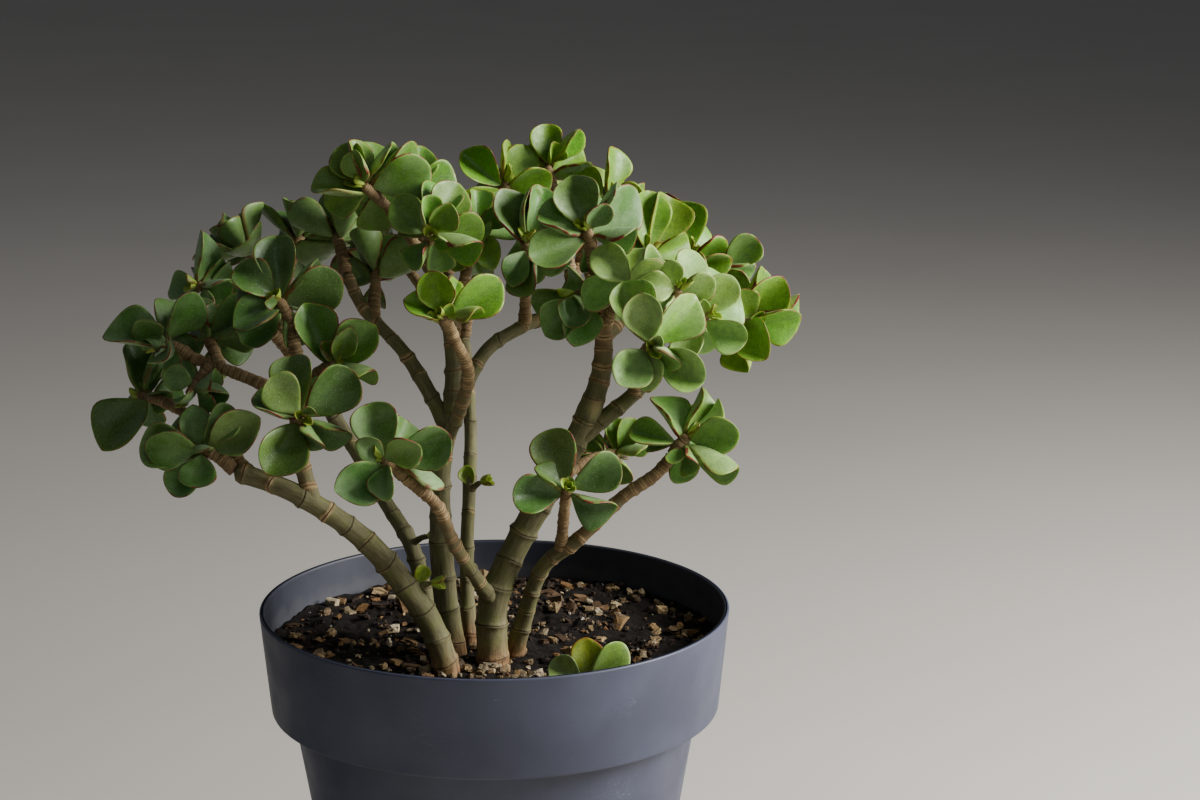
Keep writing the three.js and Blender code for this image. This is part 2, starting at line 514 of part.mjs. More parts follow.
for (const stem of stems) {
  const points = stem.points.map(plantPoint);
  points.unshift(points[0].clone().setZ(soilLevel - rootDepth));
  addWood(stem.name, new THREE.CatmullRomCurve3(points), stem.radii, 7);
}
for (const branch of branches) {
  const start = wood.get(branch.parent).curve.getPointAt(branch.from);
  const curve = new THREE.CatmullRomCurve3([start, ...branch.points.map(plantPoint)]);
  addWood(branch.name, curve, branch.radii, 6);
}
[...shoots, ...sprouts].forEach((shoot, i) => (shoot.seed = 60 * i));
for (const shoot of shoots) {
  const end = plantPoint(shoot.at);
  const parent = wood.get(shoot.parent); // a shoot with no parent is rooted in the soil
  const start = parent ? parent.curve.getPointAt(shoot.from) : end.clone().setZ(soilLevel - shootRootDepth);
  const thick = parent ? Math.min(twigRadius, parent.radii[1]) : twigRadius;
  shoot.curve = twigCurve(start, end);
  shoot.twig = addWood(shoot.name, shoot.curve, [thick, twigRadius], 5);
}

const pot = makePot();
let soil = makeSoil();
for (const root of grownWood) soil = soil.subtract(root.solid);

const placed = []; // every leaf placed so far, with the shoot that owns it

// Puts the leaves on a shoot, each at the first step that keeps it clear of all the others.
function addLeaves(shoot, bare) {
  let solid = bare;
  for (let i = 0; i < leafCount(shoot); i++) {
    for (const step of giveWay) {
      const leaf = leafOf(shoot, i, step);
      const grown = makeLeaf(leaf, gap);
      const blocked =
        sharedVolume(grown, pot) > 0 ||
        sharedVolume(grown, soil) > 0 ||
        grownWood.some((w) => w.name !== shoot.name && sharedVolume(grown, w.solid) > 0) ||
        placed.some((p) => sharedVolume(grown, p.solid) > (p.owner === shoot ? ownOverlap : 0));
      if (blocked) continue;
      const made = makeLeaf(leaf);
      placed.push({ solid: made, owner: shoot });
      solid = solid.add(made);
      break;
    }
  }
  return largestBody(solid);
}

for (const shoot of shoots) shoot.solid = addLeaves(shoot, shoot.twig);
for (const sprout of sprouts) {
  const stem = wood.get(sprout.parent);
  sprout.name = sprout.parent;
  sprout.curve = twigCurve(stem.curve.getPointAt(sprout.from), plantPoint(sprout.at));
  stem.solid = addLeaves(sprout, stem.solid);
}

addMesh("pot", pot, "pot");
addMesh("soil", soil, "soil");
for (const { name } of [...stems, ...branches]) addMesh(name, wood.get(name).solid, "stem");
for (const { name, solid } of shoots) addMesh(name, solid, "leaf");

export default model;
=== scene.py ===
# A potted jade plant: a moulded pot, potting soil, ringed stems and fleshy leaves.
# Sizes in the dictionaries are millimetres and degrees. Meshes are made in metres.
import json

import bpy
import numpy as np
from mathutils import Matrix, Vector
from mathutils.bvhtree import BVHTree

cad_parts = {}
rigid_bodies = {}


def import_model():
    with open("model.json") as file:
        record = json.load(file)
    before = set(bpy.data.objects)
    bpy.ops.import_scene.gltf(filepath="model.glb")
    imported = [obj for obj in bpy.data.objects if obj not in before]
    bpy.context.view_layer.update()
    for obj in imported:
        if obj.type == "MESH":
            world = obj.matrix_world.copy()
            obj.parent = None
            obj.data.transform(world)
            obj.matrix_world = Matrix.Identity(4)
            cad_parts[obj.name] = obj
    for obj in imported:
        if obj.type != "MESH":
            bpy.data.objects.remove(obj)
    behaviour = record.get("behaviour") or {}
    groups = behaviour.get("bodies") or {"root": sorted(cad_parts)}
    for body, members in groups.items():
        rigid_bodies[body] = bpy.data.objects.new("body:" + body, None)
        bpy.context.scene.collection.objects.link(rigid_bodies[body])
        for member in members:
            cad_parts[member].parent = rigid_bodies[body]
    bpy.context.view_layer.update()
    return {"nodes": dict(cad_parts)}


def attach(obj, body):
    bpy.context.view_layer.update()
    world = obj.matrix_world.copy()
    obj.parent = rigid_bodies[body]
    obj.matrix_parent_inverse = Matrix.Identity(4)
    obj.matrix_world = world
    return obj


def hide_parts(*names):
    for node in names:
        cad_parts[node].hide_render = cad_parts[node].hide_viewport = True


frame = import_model()
print("frame loaded,", len(frame["nodes"]), "nodes")

metre = 0.001  # one millimetre


# ---- camera, lights and floor ----
view = {
    "place": (0.0492833, -1.2725714, 0.5971505),
    "lookDown": 13.2187,
    "lens": 85,
    "clipEnd": 50,
}

lightsAim = (0, 0, 0.25)
lights = {
    "key": {"place": (1.2, -0.1, 0.85), "size": 0.75, "power": 57, "colour": "#fbfaf8"},
    "front": {"place": (0.8, -1.9, 1.5), "size": 1.4, "power": 5, "colour": "#eef3ff"},
    "fill": {"place": (-1.5, 0.5, 1.4), "size": 1.8, "power": 2, "colour": "#e8efff"},
}

room = {
    "floorSize": 12.0,
    "floorColour": "#bdb8af",
    "floorCloud": "#c6c1b8",
    "ambient": "#c9cdd6",
    "strength": 0.13,
}


def linear(colour):
    # sRGB hex to linear: below 0.04045 divide by 12.92, above it ((c + 0.055) / 1.055) ^ 2.4
    c = np.array([int(colour[i : i + 2], 16) for i in (1, 3, 5)]) / 255
    c = np.where(c <= 0.04045, c / 12.92, ((c + 0.055) / 1.055) ** 2.4)
    return (*c.tolist(), 1.0)


eased = {"interpolation_type": "SMOOTHSTEP"}
blended = {"output": 2, "data_type": "RGBA"}  # a Mix node's colour comes from its third output


def addNode(tree, kind, inputs, output=0, **settings):
    # One node with its own settings. Its inputs, by name or number, are values or other nodes'
    # outputs, and what comes back is the output that the next node takes.
    node = tree.nodes.new("ShaderNode" + kind)
    for name, value in settings.items():
        setattr(node, name, value)
    for name, value in inputs.items():
        socket = node.inputs[name]
        if isinstance(value, bpy.types.NodeSocket):
            tree.links.new(value, socket)
        else:
            socket.default_value = value
    return node.outputs[output]


def startMaterial(name, surface, patterns, own=None, ownPlace=None):
    # A material with a Principled surface, whose fixed values are set on its own sockets, and the
    # guides that its colours follow: noise patterns, each of a size in mm, a detail and a
    # roughness, and the mesh's own attributes. Noise lies in the object's coordinates, which are
    # metres, or in the attribute ownPlace, which is in mm.
    material = bpy.data.materials.new(name)
    material.use_nodes = True
    tree = material.node_tree
    tree.nodes.clear()
    shader = addNode(tree, "BsdfPrincipled", surface)
    tree.links.new(shader, tree.nodes.new("ShaderNodeOutputMaterial").inputs["Surface"])
    if ownPlace:
        place, unit = addNode(tree, "Attribute", {}, "Vector", attribute_name=ownPlace), 1
    else:
        place, unit = addNode(tree, "TexCoord", {}, "Object"), metre
    guide = {}
    for key, (size, detail, rough) in patterns.items():
        inputs = {"Vector": place, "Scale": 1 / (size * unit), "Detail": detail, "Roughness": rough}
        guide[key] = addNode(tree, "TexNoise", inputs)
    for key, output in (own or {}).items():
        guide[key] = addNode(tree, "Attribute", {}, output, attribute_name=key)
    return material, tree, shader.node, place, guide


def addCoats(tree, colour, coats):
    # Lays coats over a colour, in order. As a coat's guide goes from start to end, the coat's
    # cover eases from its first share to its second.
    for guide, start, end, first, second, paint in coats:
        cover = addNode(tree, "MapRange", {0: guide, 1: start, 2: end, 3: first, 4: second}, **eased)
        paint = linear(paint) if isinstance(paint, str) else paint
        colour = addNode(tree, "Mix", {0: cover, 6: colour, 7: paint}, **blended)
    return colour


def ragged(tree, value, noise, amount):
    # the value plus amount times how far the noise is from its middle
    off = addNode(tree, "Math", {0: noise, 1: 0.5}, operation="SUBTRACT")
    off = addNode(tree, "Math", {0: off, 1: amount}, operation="MULTIPLY")
    return addNode(tree, "Math", {0: value, 1: off}, operation="ADD")


def finishMaterial(tree, shader, colour, height, strength, depth):
    # links the colour, and the height as relief that is depth mm deep
    relief = addNode(tree, "Bump", {"Height": height, "Strength": strength, "Distance": depth * metre})
    tree.links.new(colour, shader.inputs["Base Color"])
    tree.links.new(relief, shader.inputs["Normal"])


def makeCamera():
    camera = bpy.data.cameras.new("camera")
    camera.lens = view["lens"]
    camera.clip_end = view["clipEnd"]
    holder = bpy.data.objects.new("camera", camera)
    holder.location = view["place"]
    holder.rotation_euler = (np.radians(90 - view["lookDown"]), 0, 0)
    bpy.context.scene.collection.objects.link(holder)
    bpy.context.scene.camera = holder


def makeLights():
    aim = Vector(lightsAim)
    for name, light in lights.items():
        lamp = bpy.data.lights.new(name, "AREA")
        lamp.shape = "DISK"
        lamp.size = light["size"]
        lamp.energy = light["power"]
        lamp.color = linear(light["colour"])[:3]
        holder = bpy.data.objects.new(name, lamp)
        holder.location = light["place"]
        holder.rotation_euler = (aim - holder.location).to_track_quat("-Z", "Y").to_euler()
        bpy.context.scene.collection.objects.link(holder)
    world = bpy.data.worlds.new("softRoom")
    world.use_nodes = True
    background = world.node_tree.nodes["Background"]
    background.inputs["Color"].default_value = linear(room["ambient"])
    background.inputs["Strength"].default_value = room["strength"]
    bpy.context.scene.world = world


def makeFloor():
    half = room["floorSize"] / 2
    mesh = bpy.data.meshes.new("floor")
    corners = [(-half, -half, 0), (half, -half, 0), (half, half, 0), (-half, half, 0)]
    mesh.from_pydata(corners, [], [(0, 1, 2, 3)])
    patterns = {"cloud": (300, 2, 0.55)}
    material, tree, shader, place, guide = startMaterial("palePaintedFloor", {"Roughness": 0.8}, patterns)
    paints = {0: guide["cloud"], 6: linear(room["floorColour"]), 7: linear(room["floorCloud"])}
    tree.links.new(addNode(tree, "Mix", paints, **blended), shader.inputs["Base Color"])
    mesh.materials.append(material)
    floor = bpy.data.objects.new("floor", mesh)
    bpy.context.scene.collection.objects.link(floor)


# ---- meshes from arrays ----
def gridFaces(rows, sides):
    # four corners of each cell of a grid of rows by sides that closes round its sides
    i, j = np.meshgrid(np.arange(rows - 1), np.arange(sides), indexing="ij")
    k = (j + 1) % sides
    cells = [i * sides + j, i * sides + k, (i + 1) * sides + k, (i + 1) * sides + j]
    return np.stack(cells, -1).reshape(-1, 4)


def wobble(k):
    # a repeatable number from -1 to 1 for each whole k: the fraction of a large sine
    return (np.sin(np.asarray(k) * 12.9898) * 43758.5453 % 1) * 2 - 1


def addPiece(name, points, faces, materials, values=None, kinds=None, smooth=True):
    # points in mm; values are the points' own attributes, kinds the faces' material numbers
    mesh = bpy.data.meshes.new(name)
    cells = faces if isinstance(faces, list) else faces.tolist()
    mesh.from_pydata((points * metre).tolist(), [], cells)
    for key, value in (values or {}).items():
        if value.ndim == 1:
            mesh.attributes.new(key, "FLOAT", "POINT").data.foreach_set("value", value.astype("f"))
        elif value.shape[1] == 4:
            layer = mesh.attributes.new(key, "FLOAT_COLOR", "POINT")
            layer.data.foreach_set("color", value.astype("f").ravel())
        else:
            layer = mesh.attributes.new(key, "FLOAT_VECTOR", "POINT")
            layer.data.foreach_set("vector", value.astype("f").ravel())
    for material in materials:
        mesh.materials.append(material)
    if kinds is not None:
        mesh.polygons.foreach_set("material_index", kinds.astype("i"))
    mesh.polygons.foreach_set("use_smooth", np.full(len(mesh.polygons), smooth))
    mesh.update()
    piece = bpy.data.objects.new(name, mesh)
    bpy.context.scene.collection.objects.link(piece)
    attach(piece, "root")
    return piece


makeCamera()
makeLights()
makeFloor()
print("camera, lights and floor are set")


# ---- the pot ----
pot = {
    "height": 200,
    "rimRadius": 110,
    "wall": 2.5,
    "collarHeight": 48,
    "collarTaper": 0.1,
    "collarStep": 9.7,
    "bodyTaper": 0.17,
    "floor": 4,
    "edge": 1.1,
    "innerCorner": 3,
    "drainRadius": 5,
    "drainRing": 42,
    "drainCount": 6,
    "sides": 192,
}
collarBottom = pot["height"] - pot["collarHeight"]
collarLow = pot["rimRadius"] - pot["collarTaper"] * pot["collarHeight"]
bodyTop = collarLow - pot["collarStep"]
ledge = collarBottom + pot["wall"]


def collarInside(z):
    return pot["rimRadius"] - pot["wall"] - pot["collarTaper"] * (pot["height"] - z)


def bodyInside(z):
    return bodyTop - pot["wall"] - pot["bodyTaper"] * (collarBottom - z)


def roundCorners(corners, steps=6):
    # each corner (r, z, round) becomes a quadratic arc that starts and ends its round away from
    # it, with one more point just outside each end so that the flats stay flat when shaded
    c = np.array(corners, float)
    inner = c[1:-1]
    before = c[:-2, :2] - inner[:, :2]
    after = c[2:, :2] - inner[:, :2]
    before = before / np.linalg.norm(before, axis=1, keepdims=True) * inner[:, 2:]
    after = after / np.linalg.norm(after, axis=1, keepdims=True) * inner[:, 2:]
    t = np.linspace(0, 1, steps)[None, :, None]
    arcs = (1 - t) ** 2 * before[:, None] + t**2 * after[:, None]
    arcs = np.concatenate([before[:, None] * 1.5, arcs, after[:, None] * 1.5], 1)
    arcs = arcs + inner[:, None, :2]
    return np.vstack([c[:1, :2], arcs.reshape(-1, 2), c[-1:, :2]])


def potProfile():
    edge = pot["edge"]
    corner = pot["innerCorner"]
    floor = pot["floor"]
    height = pot["height"]
    foot = bodyTop - pot["bodyTaper"] * collarBottom
    # from the middle of the base up the outside, over the rim and down the inside
    return roundCorners(
        [
            (0, 0, 0),
            (foot, 0, edge),
            (bodyTop, collarBottom, 0.6),
            (collarLow, collarBottom, edge),
            (pot["rimRadius"], height, edge),
            (collarInside(height), height, edge * 0.9),
            (collarInside(ledge), ledge, corner),
            (bodyInside(ledge), ledge, 1.5),
            (bodyInside(floor), floor, corner),
            (0, floor, 0),
        ]
    )


def mouldedPolypropylene():
    # Injection-moulded polypropylene, slate grey: a dull even sheen with a fine eggshell grain,
    # pale hair scratches from handling and a trace of dried water at the rim.
    surface = {"Roughness": 0.5, "IOR": 1.49, "Specular IOR Level": 0.5}
    patterns = {
        "cloud": (45, 3, 0.55),
        "handled": (28, 2, 0.55),
        "dust": (0.9, 2, 0.55),
        "waterline": (12, 4, 0.55),
        "dull": (18, 4, 0.55),
        "grain": (0.8, 2, 0.55),
    }
    material, tree, shader, place, guide = startMaterial("mouldedPolypropylene", surface, patterns)
    base = addCoats(tree, linear("#383b4c"), [(guide["cloud"], 0.35, 0.7, 0, 1, "#434759")])
    # scratches: noise drawn out 25 times along a slanting line, kept only near its middle value
    slant = {"Vector": place, "Rotation": (0.0, 0.16, 0.5), "Scale": (0.04, 0.6, 1.0)}
    drawnOut = addNode(tree, "Mapping", slant)
    inputs = {"Vector": drawnOut, "Scale": 1 / (2.6 * metre), "Detail": 1, "Roughness": 0.55}
    streak = addNode(tree, "TexNoise", inputs)
    offMiddle = addNode(tree, "Math", {0: streak, 1: 0.5}, operation="SUBTRACT")
    line = addNode(tree, "Math", {0: offMiddle}, operation="ABSOLUTE")
    hair = addNode(tree, "MapRange", {0: line, 1: 0.0, 2: 0.0035, 3: 1.0, 4: 0.0}, **eased)
    handled = addNode(tree, "MapRange", {0: guide["handled"], 1: 0.56, 2: 0.68}, **eased)
    scratch = addNode(tree, "Math", {0: hair, 1: handled}, operation="MULTIPLY")
    faint = addNode(tree, "Math", {0: scratch, 1: 0.5}, operation="MULTIPLY")
    skin = addNode(tree, "Mix", {0: faint, 6: base, 7: linear("#a3a7b8")}, **blended)
    # dust settles in the grain as fine pale specks
    skin = addCoats(tree, skin, [(guide["dust"], 0.66, 0.78, 0, 0.16, "#8f93a4")])
    # The inner wall is told from the outer by its radius less its lean, above the ledge only. It is
    # darkened with painted shade for the crown's shadow, and has a faint chalky band of dried water with a
    # broken edge.
    parts = addNode(tree, "SeparateXYZ", {0: place}).node.outputs
    x2, y2 = (addNode(tree, "Math", {0: part, 1: 2}, operation="POWER") for part in parts[:2])
    squares = addNode(tree, "Math", {0: x2, 1: y2}, operation="ADD")
    radius = addNode(tree, "Math", {0: squares}, operation="SQRT")
    lean = addNode(tree, "Math", {0: parts[2], 1: -pot["collarTaper"]}, operation="MULTIPLY")
    upright = addNode(tree, "Math", {0: radius, 1: lean}, operation="ADD")
    innerWall = (pot["rimRadius"] - pot["wall"] - pot["collarTaper"] * pot["height"]) * metre
    wallRange = {0: upright, 1: innerWall + 0.0006, 2: innerWall + 0.0016, 3: 1.0, 4: 0.0}
    near = addNode(tree, "MapRange", wallRange, **eased)
    ledgeRange = {0: parts[2], 1: ledge * metre - 0.001, 2: ledge * metre + 0.002}
    above = addNode(tree, "MapRange", ledgeRange, **eased)
    inside = addNode(tree, "Math", {0: near, 1: above}, operation="MULTIPLY")
    # painted shade: the inner wall above the ledge is mixed 65% towards near black
    paintedShade = addNode(tree, "Math", {0: inside, 1: 0.65}, operation="MULTIPLY")
    skin = addNode(tree, "Mix", {0: paintedShade, 6: skin, 7: linear("#15151a")}, **blended)
    uneven = addNode(tree, "Math", {0: guide["waterline"], 1: 0.016}, operation="MULTIPLY")
    level = addNode(tree, "Math", {0: parts[2], 1: uneven}, operation="SUBTRACT")
    band = addNode(tree, "MapRange", {0: level, 1: 0.176, 2: 0.184, 3: 1.0, 4: 0.0}, **eased)
    lime = addNode(tree, "Math", {0: inside, 1: band}, operation="MULTIPLY")
    lime = addNode(tree, "Math", {0: lime, 1: 0.12}, operation="MULTIPLY")
    skin = addNode(tree, "Mix", {0: lime, 6: skin, 7: linear("#77756f")}, **blended)
    dull = addNode(tree, "MapRange", {0: guide["dull"], 1: 0.3, 2: 0.7, 3: 0.46, 4: 0.58}, **eased)
    scuffed = addNode(tree, "Math", {0: scratch, 1: 0.15}, operation="MULTIPLY")
    rough = addNode(tree, "Math", {0: dull, 1: scuffed}, operation="ADD")
    tree.links.new(rough, shader.inputs["Roughness"])
    deep = addNode(tree, "Math", {0: scratch, 1: 1.5}, operation="MULTIPLY")
    height = addNode(tree, "Math", {0: guide["grain"], 1: deep}, operation="SUBTRACT")
    finishMaterial(tree, shader, skin, height, 0.25, 0.05)
    return material


def makePot():
    # a profile carried round the upright axis: x = r cos a, y = r sin a, z = z
    profile = potProfile()
    angle = np.arange(pot["sides"]) * 2 * np.pi / pot["sides"]
    r = profile[1:-1, :1]
    rings = np.stack([r * np.cos(angle), r * np.sin(angle), profile[1:-1, 1:] + 0 * angle], -1)
    sides = pot["sides"]
    points = np.vstack([rings.reshape(-1, 3), [[0, 0, 0]], [[0, 0, pot["floor"]]]])
    count = len(rings)
    walls = gridFaces(count, sides)
    around = np.arange(sides)
    low = np.stack([np.full(sides, count * sides), (around + 1) % sides, around], 1)
    last = (count - 1) * sides
    high = np.stack([np.full(sides, count * sides + 1), last + around, last + (around + 1) % sides], 1)
    faces = np.empty(len(walls) + 2 * sides, object)
    faces[:] = walls.tolist() + low.tolist() + high.tolist()
    piece = addPiece("pot_moulded", points, faces, [mouldedPolypropylene()])
    cutDrainHoles(piece)
    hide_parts("pot")


def cutDrainHoles(piece):
    # round bars through the floor, taken out of the pot
    bars = []
    for i in range(pot["drainCount"]):
        turn = 2 * np.pi * i / pot["drainCount"]
        place = Vector((np.cos(turn), np.sin(turn), 0)) * pot["drainRing"] * metre
        bpy.ops.mesh.primitive_cylinder_add(
            vertices=40, radius=pot["drainRadius"] * metre, depth=0.02, location=place
        )
        bars.append(bpy.context.object)
    bpy.ops.object.select_all(action="DESELECT")
    for bar in bars:
        bar.select_set(True)
    bpy.context.view_layer.objects.active = bars[0]
    bpy.ops.object.join()
    cutter = bpy.context.object
    cut = piece.modifiers.new("drainHoles", "BOOLEAN")
    cut.operation = "DIFFERENCE"
    cut.object = cutter
    cut.solver = "EXACT"
    drawn = piece.evaluated_get(bpy.context.evaluated_depsgraph_get())
    piece.data = bpy.data.meshes.new_from_object(drawn)
    piece.modifiers.clear()
    bpy.data.objects.remove(cutter)


makePot()
print("pot is made")


# ---- the growth plan ----
# Points are counted from the middle of the soil's surface. Radii go from foot to tip, rings is
# the spacing of the ring scars from foot to tip, brown how corky the bark is from foot to tip.
# A branch or shoot leaves its parent at a share of the parent's length. Each leaf has its
# direction round the upright plane, its tilt towards the front, its length in hundredths of a
# full-grown leaf and its roll; a shoot with pairs has opposite leaves by rule.
stems = {
    "stem_front_left": {
        "radii": (6.2, 4.2), "rings": (17, 12), "brown": (0.05, 0.45),
        "points": [(-20, -50, 0), (-27, -53, 24), (-38, -56, 43), (-55, -60, 65), (-83, -68, 88),
            (-112, -62, 98)]},
    "stem_back_left": {
        "radii": (4, 3), "rings": (16, 12), "brown": (0.1, 0.3),
        "points": [(-29, -2, 0), (-32, -4, 20), (-39, 0, 46), (-52, 15, 63), (-72, 32, 92),
            (-98, 42, 130), (-106, 44, 158)]},
    "stem_middle": {
        "radii": (6.2, 3), "rings": (19, 9), "brown": (0.0, 0.6),
        "points": [(-19, -20, 0), (-22, -20, 25), (-24, -18, 63), (-23, -15, 91), (-18, -10, 118),
            (-19, -4, 148), (-24, -18, 176), (-27, -32, 188)]},
    "stem_middle_right": {
        "radii": (7.2, 5.4), "rings": (18, 13), "brown": (0.0, 0.25),
        "points": [(0, -35, 0), (1, -35, 30), (15, -32, 62), (31, -30, 90), (45, -30, 117)]},
    "stem_right": {
        "radii": (4.4, 2.6), "rings": (16, 3), "brown": (0.05, 0.9),
        "points": [(10, -22, 0), (15, -29, 21), (24, -38, 47), (39, -45, 61), (60, -47, 82),
            (74, -47, 92), (82, -46, 101)]},
    "stem_back": {
        "radii": (3.6, 2.6), "rings": (17, 12), "brown": (0.1, 0.4),
        "points": [(-12, 0, 0), (-13, 2, 21), (-13, 5, 47), (-12, 12, 70), (-12, 28, 100),
            (-16, 52, 134), (-24, 74, 160)]},
}

branches = {
    "branch_low_left": {"parent": "stem_middle_right", "from": 0.3,
        "radii": (3.4, 2.5), "rings": (13, 2.2), "brown": (0.1, 1.0),
        "points": [(-9, -56, 51), (-16, -69, 68), (-22, -80, 87), (-36, -88, 102)]},
    "branch_up_left": {"parent": "stem_front_left", "from": 0.76,
        "radii": (3.6, 2.6), "rings": (9, 4), "brown": (0.5, 0.9),
        "points": [(-84, -62, 112), (-84, -50, 140), (-88, -46, 162)]},
    "branch_far_left": {"parent": "branch_up_left", "from": 0.5,
        "radii": (3, 2.4), "rings": (4, 2.2), "brown": (0.8, 1.0),
        "points": [(-98, -44, 131), (-116, -40, 138), (-134, -34, 143)]},
    "branch_left": {"parent": "stem_middle", "from": 0.56,
        "radii": (3.6, 2.7), "rings": (14, 8), "brown": (0.2, 0.6),
        "points": [(-40, -1, 137), (-59, 5, 157), (-68, 14, 172)]},
    "branch_back_right": {"parent": "stem_middle", "from": 0.585,
        "radii": (3.6, 2.6), "rings": (15, 8), "brown": (0.15, 0.7),
        "points": [(-3, 2, 138), (12, 10, 147), (28, 22, 153), (40, 40, 172)]},
    "branch_front": {"parent": "stem_middle", "from": 0.52,
        "radii": (3.3, 2.4), "rings": (12, 2.6), "brown": (0.2, 1.0),
        "points": [(-12, -40, 124), (-9, -56, 143), (-14, -68, 158)]},
    "branch_top_right": {"parent": "stem_middle_right", "from": 0.97,
        "radii": (4.8, 3.5), "rings": (9, 4), "brown": (0.4, 1.0),
        "points": [(50, -28, 135), (51, -29, 155), (50, -31, 173), (46, -36, 190)]},
    "branch_right": {"parent": "stem_middle_right", "from": 0.9,
        "radii": (3.9, 2.7), "rings": (13, 6), "brown": (0.1, 0.6),
        "points": [(60, -30, 121), (74, -35, 136), (86, -36, 150), (98, -30, 156)]},
    "branch_upper_right": {"parent": "branch_top_right", "from": 0.5,
        "radii": (3.2, 2.5), "rings": (8, 4), "brown": (0.5, 0.9),
        "points": [(62, -20, 160), (76, -8, 170), (90, 4, 172)]},
    "branch_rear_right": {"parent": "branch_back_right", "from": 0.6,
        "radii": (2.9, 2.4), "rings": (10, 5), "brown": (0.3, 0.7),
        "points": [(34, 40, 148), (52, 62, 156), (72, 76, 160)]},
}

